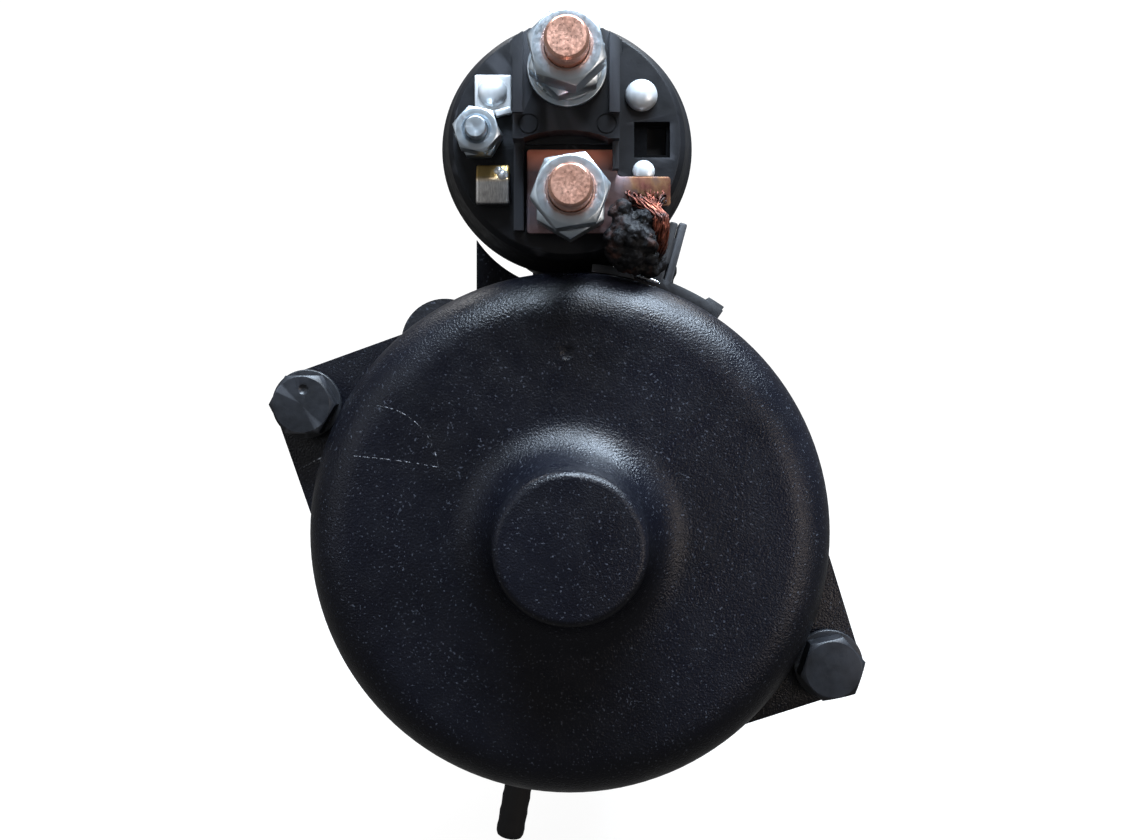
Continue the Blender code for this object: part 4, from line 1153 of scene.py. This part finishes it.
def melted_insulation():
    """The lead's black insulation, melted into lumps between the tab and the cover."""
    z = SOL_Z
    spots = [
        (12.2, -178.6, -20.6, 3.9), (11.2, -178.9, -16.8, 2.4), (15.9, -178.6, -18.6, 2.7),
        (10.0, -178.4, -25.0, 2.6), (13.4, -178.0, -26.2, 3.0), (16.6, -178.8, -23.0, 3.0),
        (9.6, -178.8, -21.6, 2.3), (17.4, -177.4, -26.6, 2.0), (13.9, -180.6, -22.0, 2.6),
        (10.4, -180.6, -22.6, 1.5), (14.6, -173.6, -28.0, 2.3), (17.4, -172.6, -28.2, 2.5),
        (19.4, -170.4, -27.6, 2.2), (12.0, -174.6, -27.4, 1.9),
    ]
    spheres = [((x, y, z + up), radius) for x, y, up, radius in spots]
    made = lump("melted_insulation", spheres, 230, 1.15, 0.32)
    n = Nodes("melted_rubber")
    cloud = n.noise(320, 5, 0.65)
    colour = n.mix(n.grey(cloud, 0.4, 0.72), (0.0025, 0.0025, 0.003), (0.011, 0.011, 0.013))
    burnt = n.noise(150, 3)
    colour = n.mix(n.grey(burnt, 0.60, 0.72, 0.0, 0.7), colour, (0.05, 0.02, 0.014))
    normal = n.bump(n.noise(900, 4, 0.65), 0.8, 0.0004)
    material = n.finish(colour, n.grey(cloud, 0.3, 0.7, 0.45, 0.75), normal, specular=0.16)
    stand_in(made, material, "lead_insulator", angle=60)


GROMMET_ANGLE = 67.0


def lead_grommet():
    """A stepped rubber grommet where the lead enters the yoke."""
    centre = middle("lead_grommet")
    out = radial(GROMMET_ANGLE)
    y = centre.y
    inner, outer = 2.9, 7.5
    base = high("yoke").z + 0.6
    corners = [
        (inner, base - 7), (4.2, base - 7), (4.2, base), (outer, base), (outer, base + 2.2), (5.0, base + 4.4),
        (inner, base + 4.4), (inner, base - 7),
    ]
    profile = rounded(corners, (0, 0.4, 0, 0.5, 0.8, 0.7, 0.4, 0), 4)[:-1]
    shape = lathe_mesh(profile, 56)
    turn = Vector((0, 1, 0)).rotation_difference(out).to_matrix().to_4x4()
    bmesh.ops.transform(shape, matrix=Matrix.Translation((0, y, 0)) @ turn, verts=shape.verts)
    made = loose("grommet_rubber", shape)
    stand_in(made, rubber("grommet_rubber"), "lead_grommet", angle=40)


CLIP_LEAN = 15
CLIP_BARS = ((22.0, 63.35, 7.35), (24.0, 62.75, 7.75))  # x, z and half the length of each upright


def lead_clip():
    """A strap on the cover with two upright bars and a thin edge that catches the light."""
    cover_r = high("rear_cover").z
    inner = cover_r + 0.3
    black = smooth_black("clip_black", (0.010, 0.0105, 0.012), 0.42)
    strap_outline = arc_points(inner + 2.3, 55, 76, 24) + arc_points(inner, 76, 55, 24)
    made = loose("clip_strap", prism_mesh(strap_outline, -166, -150))
    foot = arc_points(inner + 3.3, 55.2, 59.0, 6) + arc_points(inner + 0.5, 59.0, 55.2, 6)
    left = arc_points(inner + 1.9, 75.8, 85.2, 12) + arc_points(inner + 0.1, 85.2, 75.8, 12)
    join(made, prism_mesh(foot, -164.5, -151.5), prism_mesh(left, -169.2, -165.4))
    lean = Matrix.Rotation(radians(CLIP_LEAN), 4, "Y")
    for x, z, half_long in CLIP_BARS:
        half = (0.95, 2.2, half_long)
        bar = box_mesh([-v for v in half], half)
        for vertex in bar.verts:
            if vertex.co.z > 0:
                vertex.co.z -= 0.5 * abs(vertex.co.x)
        centre = Vector((x, -163.8, z))
        bmesh.ops.transform(bar, matrix=Matrix.Translation(centre) @ lean, verts=bar.verts)
        combine(made, [soften(loose("bar", bar), 0.45, 2, 40)], "UNION")
    tie = box_mesh((-1, -0.75, -3), (1, 0.75, 3))
    tie_at = Vector((23.0, -165.15, 63.5))
    bmesh.ops.transform(tie, matrix=Matrix.Translation(tie_at) @ lean, verts=tie.verts)
    join(made, tie)
    soften(made, 0.35, 2, 50)
    stand_in(made, black, "lead_clip", angle=35)
    # A thin glossy bright steel bead on the strap's edge: a painted highlight where the edge catches the light.
    edge = bmesh.new()
    line = [Vector((x, -167.2, z)) for x, z in arc_points(inner + 1.1, 76.5, 70.0, 16)]
    add_tube(edge, line, lambda share, a: 0.55 * sqrt(max(0.05, sin(pi * min(0.97, max(0.03, share))))), 14)
    bright = loose("clip_edge_highlight", edge)
    piece(bright, bare_steel("highlight_steel", (0.6, 0.62, 0.66), 0.22, turning=False), angle=60)


# --- Drive housing ---

FLANGE_ANGLES = (132.4, 312.4)
FLANGE_CIRCLE = 63.6
PLUNGER_CHAMBER_R = 16.8
LEVER_PIN_Y, LEVER_PIN_Z = -19.08, 46


def drive_housing():
    """The nose casting: bell, neck, flange with two ears, pilot, nose with its window, and the solenoid's seat."""
    nose_end = high("drive_housing").y
    rear = low("drive_housing").y
    outside = [
        (0, nose_end), (12, nose_end), (15, nose_end - 2.5), (17, 69), (26, 65), (31, 59), (31, 24), (44.5, 13),
        (44.5, -1), (47, -2), (47, -26), (57, -34), (57, rear),
    ]
    inside = [
        (53, rear), (53, -40.4), (48.5, -39.8), (43, -28), (43, -6), (38, 0), (26.5, 14), (26.5, 57.5),
        (9.3, 58.1), (9.3, 73), (0, 73),
    ]
    profile = [(radius, y) for radius, y in outside + inside]
    softened = [0, 1.0, 0.8, 1.5, 2.5, 2.0, 2.5, 1.2, 0.3, 1.0, 3.0, 2.0, 0.6] + [0] * 11
    made = loose("drive_housing_casting", lathe_mesh(rounded(profile, [r for r in softened], 4), FINE))
    flange = loose("flange", prism_mesh(eared_outline(50, FLANGE_ANGLES, FLANGE_CIRCLE, 15), -12, 0))
    cut(flange, rod_mesh((0, -20, 0), (0, 10, 0), 44, FINE))
    lugs = loose("lugs", prism_mesh(eared_outline(55, BOLT_ANGLES, BOLT_CIRCLE, 8), rear + 0.3, -35))
    cut(lugs, rod_mesh((0, -50, 0), (0, -30, 0), 54, FINE))
    web = loose("web", box_mesh((-12, -39, 40), (12, -1.5, 75)))
    seat_profile = [(0, -43.9), (22.3, -43.9), (19.5, -0.5), (0, -0.5)]
    seat_profile = rounded(seat_profile, (0, 0.6, 1.6, 0), 5)
    seat = loose("seat", lathe_mesh(seat_profile, 96, (SOL_X, SOL_Z)))
    combine(made, [flange, lugs, web, seat], "UNION")
    cuts = [
        rod_mesh((SOL_X, -50, SOL_Z), (SOL_X, -4.5, SOL_Z), PLUNGER_CHAMBER_R, 72),
        box_mesh((-8, -36, 30), (8, -6, 74)),
        rod_mesh((-30, LEVER_PIN_Y, LEVER_PIN_Z), (30, LEVER_PIN_Y, LEVER_PIN_Z), 3.3, 40),
        box_mesh((-24, 19, -60), (24, 53, -4)),
    ]
    for angles, circle_r, hole_r, y0, y1 in (
        (BOLT_ANGLES, BOLT_CIRCLE, BOLT_HOLE_R, -55, -25), (FLANGE_ANGLES, FLANGE_CIRCLE, 6.5, -26, 14),
    ):
        cuts += [hole_along_y(radial(angle) * circle_r, y0, y1, hole_r, 48) for angle in angles]
    cut(made, *cuts)
    soften(made, 0.6, 2, 48)
    paint = black_paint("housing_paint", tone=(0.0045, 0.0045, 0.0055), grain=800, gloss=0.42)
    stand_in(made, paint, "drive_housing", angle=35)


# --- Carried-over parts ---


def dress(nodes, material):
    """Gives carried-over CAD nodes a procedural material."""
    for name in nodes:
        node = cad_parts[name]
        for slot in node.material_slots:
            slot.material = material


def dress_frame():
    steel = bare_steel("machined_steel")
    dress([f"pole_shoe_{i}" for i in range(1, 5)], steel)
    dress(["lever_pin", "solenoid_core", "armature_shaft", "stop_ring", "drive_sleeve"], steel)
    dress(["clutch_drum", "plunger", "contact_rod"], steel)
    dress(["armature_core"], bare_steel("laminations", (0.22, 0.22, 0.235), 0.4))
    dress(["pinion", "shift_lever"], bare_steel("hard_steel", (0.30, 0.30, 0.31), 0.28, turning=False))
    dress(["field_winding", "solenoid_coil", "armature_winding_rear", "armature_winding_front"], winding("wire"))
    dress(["rear_bush", "nose_bush"], bronze("bush_bronze"))
    dress(["commutator", "contact_disc"], copper("commutator_copper", stain=0.25, grain=(1, 8, 1)))
    dress([f"brush_{i}" for i in range(1, 5)], carbon("brush_carbon"))
    dress(["brush_plate"], zinc("plate_zinc", yellow=0.6))
    dress(["centre_bearing_plate"], plain_casting("bearing_casting"))


# --- Stage, lights and camera ---

RIM_Y = -170.0 * MM
CAMERA_BACK = 300.0 * MM
CAMERA_UP = 34.0 * MM
LENS = 42.16
FRAMING_SHIFT = -0.035


def stage():
    """A pale floor that sweeps up behind the object, far enough off to stay plain."""
    floor_z = CAD_BOX[0][2] - 1.5 * MM
    shape = bmesh.new()
    bend, reach, front, half_wide, tall = 0.8, 2.4, -2.4, 3.2, 3.0
    route = [(front, floor_z)]
    route += [(reach + bend * sin(radians(a)), floor_z + bend * (1 - cos(radians(a)))) for a in range(0, 91, 6)]
    route.append((reach + bend, floor_z + tall))
    rows = [[shape.verts.new((x, y, z)) for x in (-half_wide, half_wide)] for y, z in route]
    for first, second in zip(rows, rows[1:]):
        shape.faces.new((first[0], first[1], second[1], second[0]))
    floor = loose("floor", shape, unit=1.0)
    n = Nodes("floor_paper")
    tone = n.mix(n.grey(n.noise(6, 3), 0.3, 0.7), (0.08, 0.08, 0.08), (0.10, 0.10, 0.10))
    n.shader.inputs["Emission Color"].default_value = (1, 1, 1, 1)
    n.shader.inputs["Emission Strength"].default_value = 0.95
    floor.data.materials.append(n.finish(tone, n.grey(n.noise(40, 3), 0.3, 0.7, 0.8, 0.9)))
    for face in floor.data.polygons:
        face.use_smooth = True
    floor.visible_glossy = False
    floor.visible_diffuse = False


def area_light(name, place, target, size, power, colour=(1, 1, 1)):
    light = bpy.data.lights.new(name, "AREA")
    light.shape = "RECTANGLE"
    light.size, light.size_y = size
    light.energy = power
    light.color = colour
    made = bpy.data.objects.new(name, light)
    bpy.context.scene.collection.objects.link(made)
    made.location = place
    made.rotation_euler = (Vector(target) - Vector(place)).to_track_quat("-Z", "Y").to_euler()
    return made


def lights_and_camera():
    target = (0, RIM_Y, 0.03)
    area_light("overhead", (0.18, -0.45, 0.9), (0, RIM_Y, 0.05), (1.0, 0.22), 62, (0.70, 0.84, 1.0))
    area_light("key", (0.28, -0.95, 0.95), target, (0.25, 0.25), 9, (0.92, 0.96, 1.0))
    area_light("fill", (-0.9, -0.9, 0.35), target, (0.9, 0.9), 3, (0.93, 0.96, 1.0))
    area_light("low_warm", (0.55, -0.7, -0.05), target, (0.4, 0.3), 2.2, (1.0, 0.86, 0.76))
    area_light("backdrop", (0, 1.2, 2.4), (0, 2.2, 0.2), (3.0, 1.5), 120)
    world = bpy.data.worlds.new("studio")
    bpy.context.scene.world = world
    world.use_nodes = True
    tree = world.node_tree
    background = tree.nodes["Background"]
    path = tree.nodes.new("ShaderNodeLightPath")
    seen = tree.nodes.new("ShaderNodeMapRange")
    seen.inputs["To Min"].default_value = 0.18
    seen.inputs["To Max"].default_value = 1.0
    tree.links.new(path.outputs["Is Camera Ray"], seen.inputs["Value"])
    tree.links.new(seen.outputs["Result"], background.inputs["Strength"])
    background.inputs["Color"].default_value = (1, 1, 1, 1)
    camera = bpy.data.cameras.new("camera")
    camera.sensor_width = 36
    camera.lens = LENS
    camera.shift_y = FRAMING_SHIFT
    camera.clip_start = 0.01
    eye = bpy.data.objects.new("camera", camera)
    bpy.context.scene.collection.objects.link(eye)
    eye.location = (0, RIM_Y - CAMERA_BACK, CAMERA_UP)
    eye.rotation_euler = (pi / 2, 0, 0)
    bpy.context.scene.camera = eye
    bpy.context.scene.view_settings.view_transform = "Standard"


rear_cover()
through_bolts()
terminal_fasteners()
yoke()
drain_tube()
solenoid_can()
solenoid_cap()
terminal_plate()
coil_ends()
solenoid_saddle()
springs()
motor_lead()
melted_insulation()
lead_grommet()
lead_clip()
drive_housing()
dress_frame()
stage()
lights_and_camera()
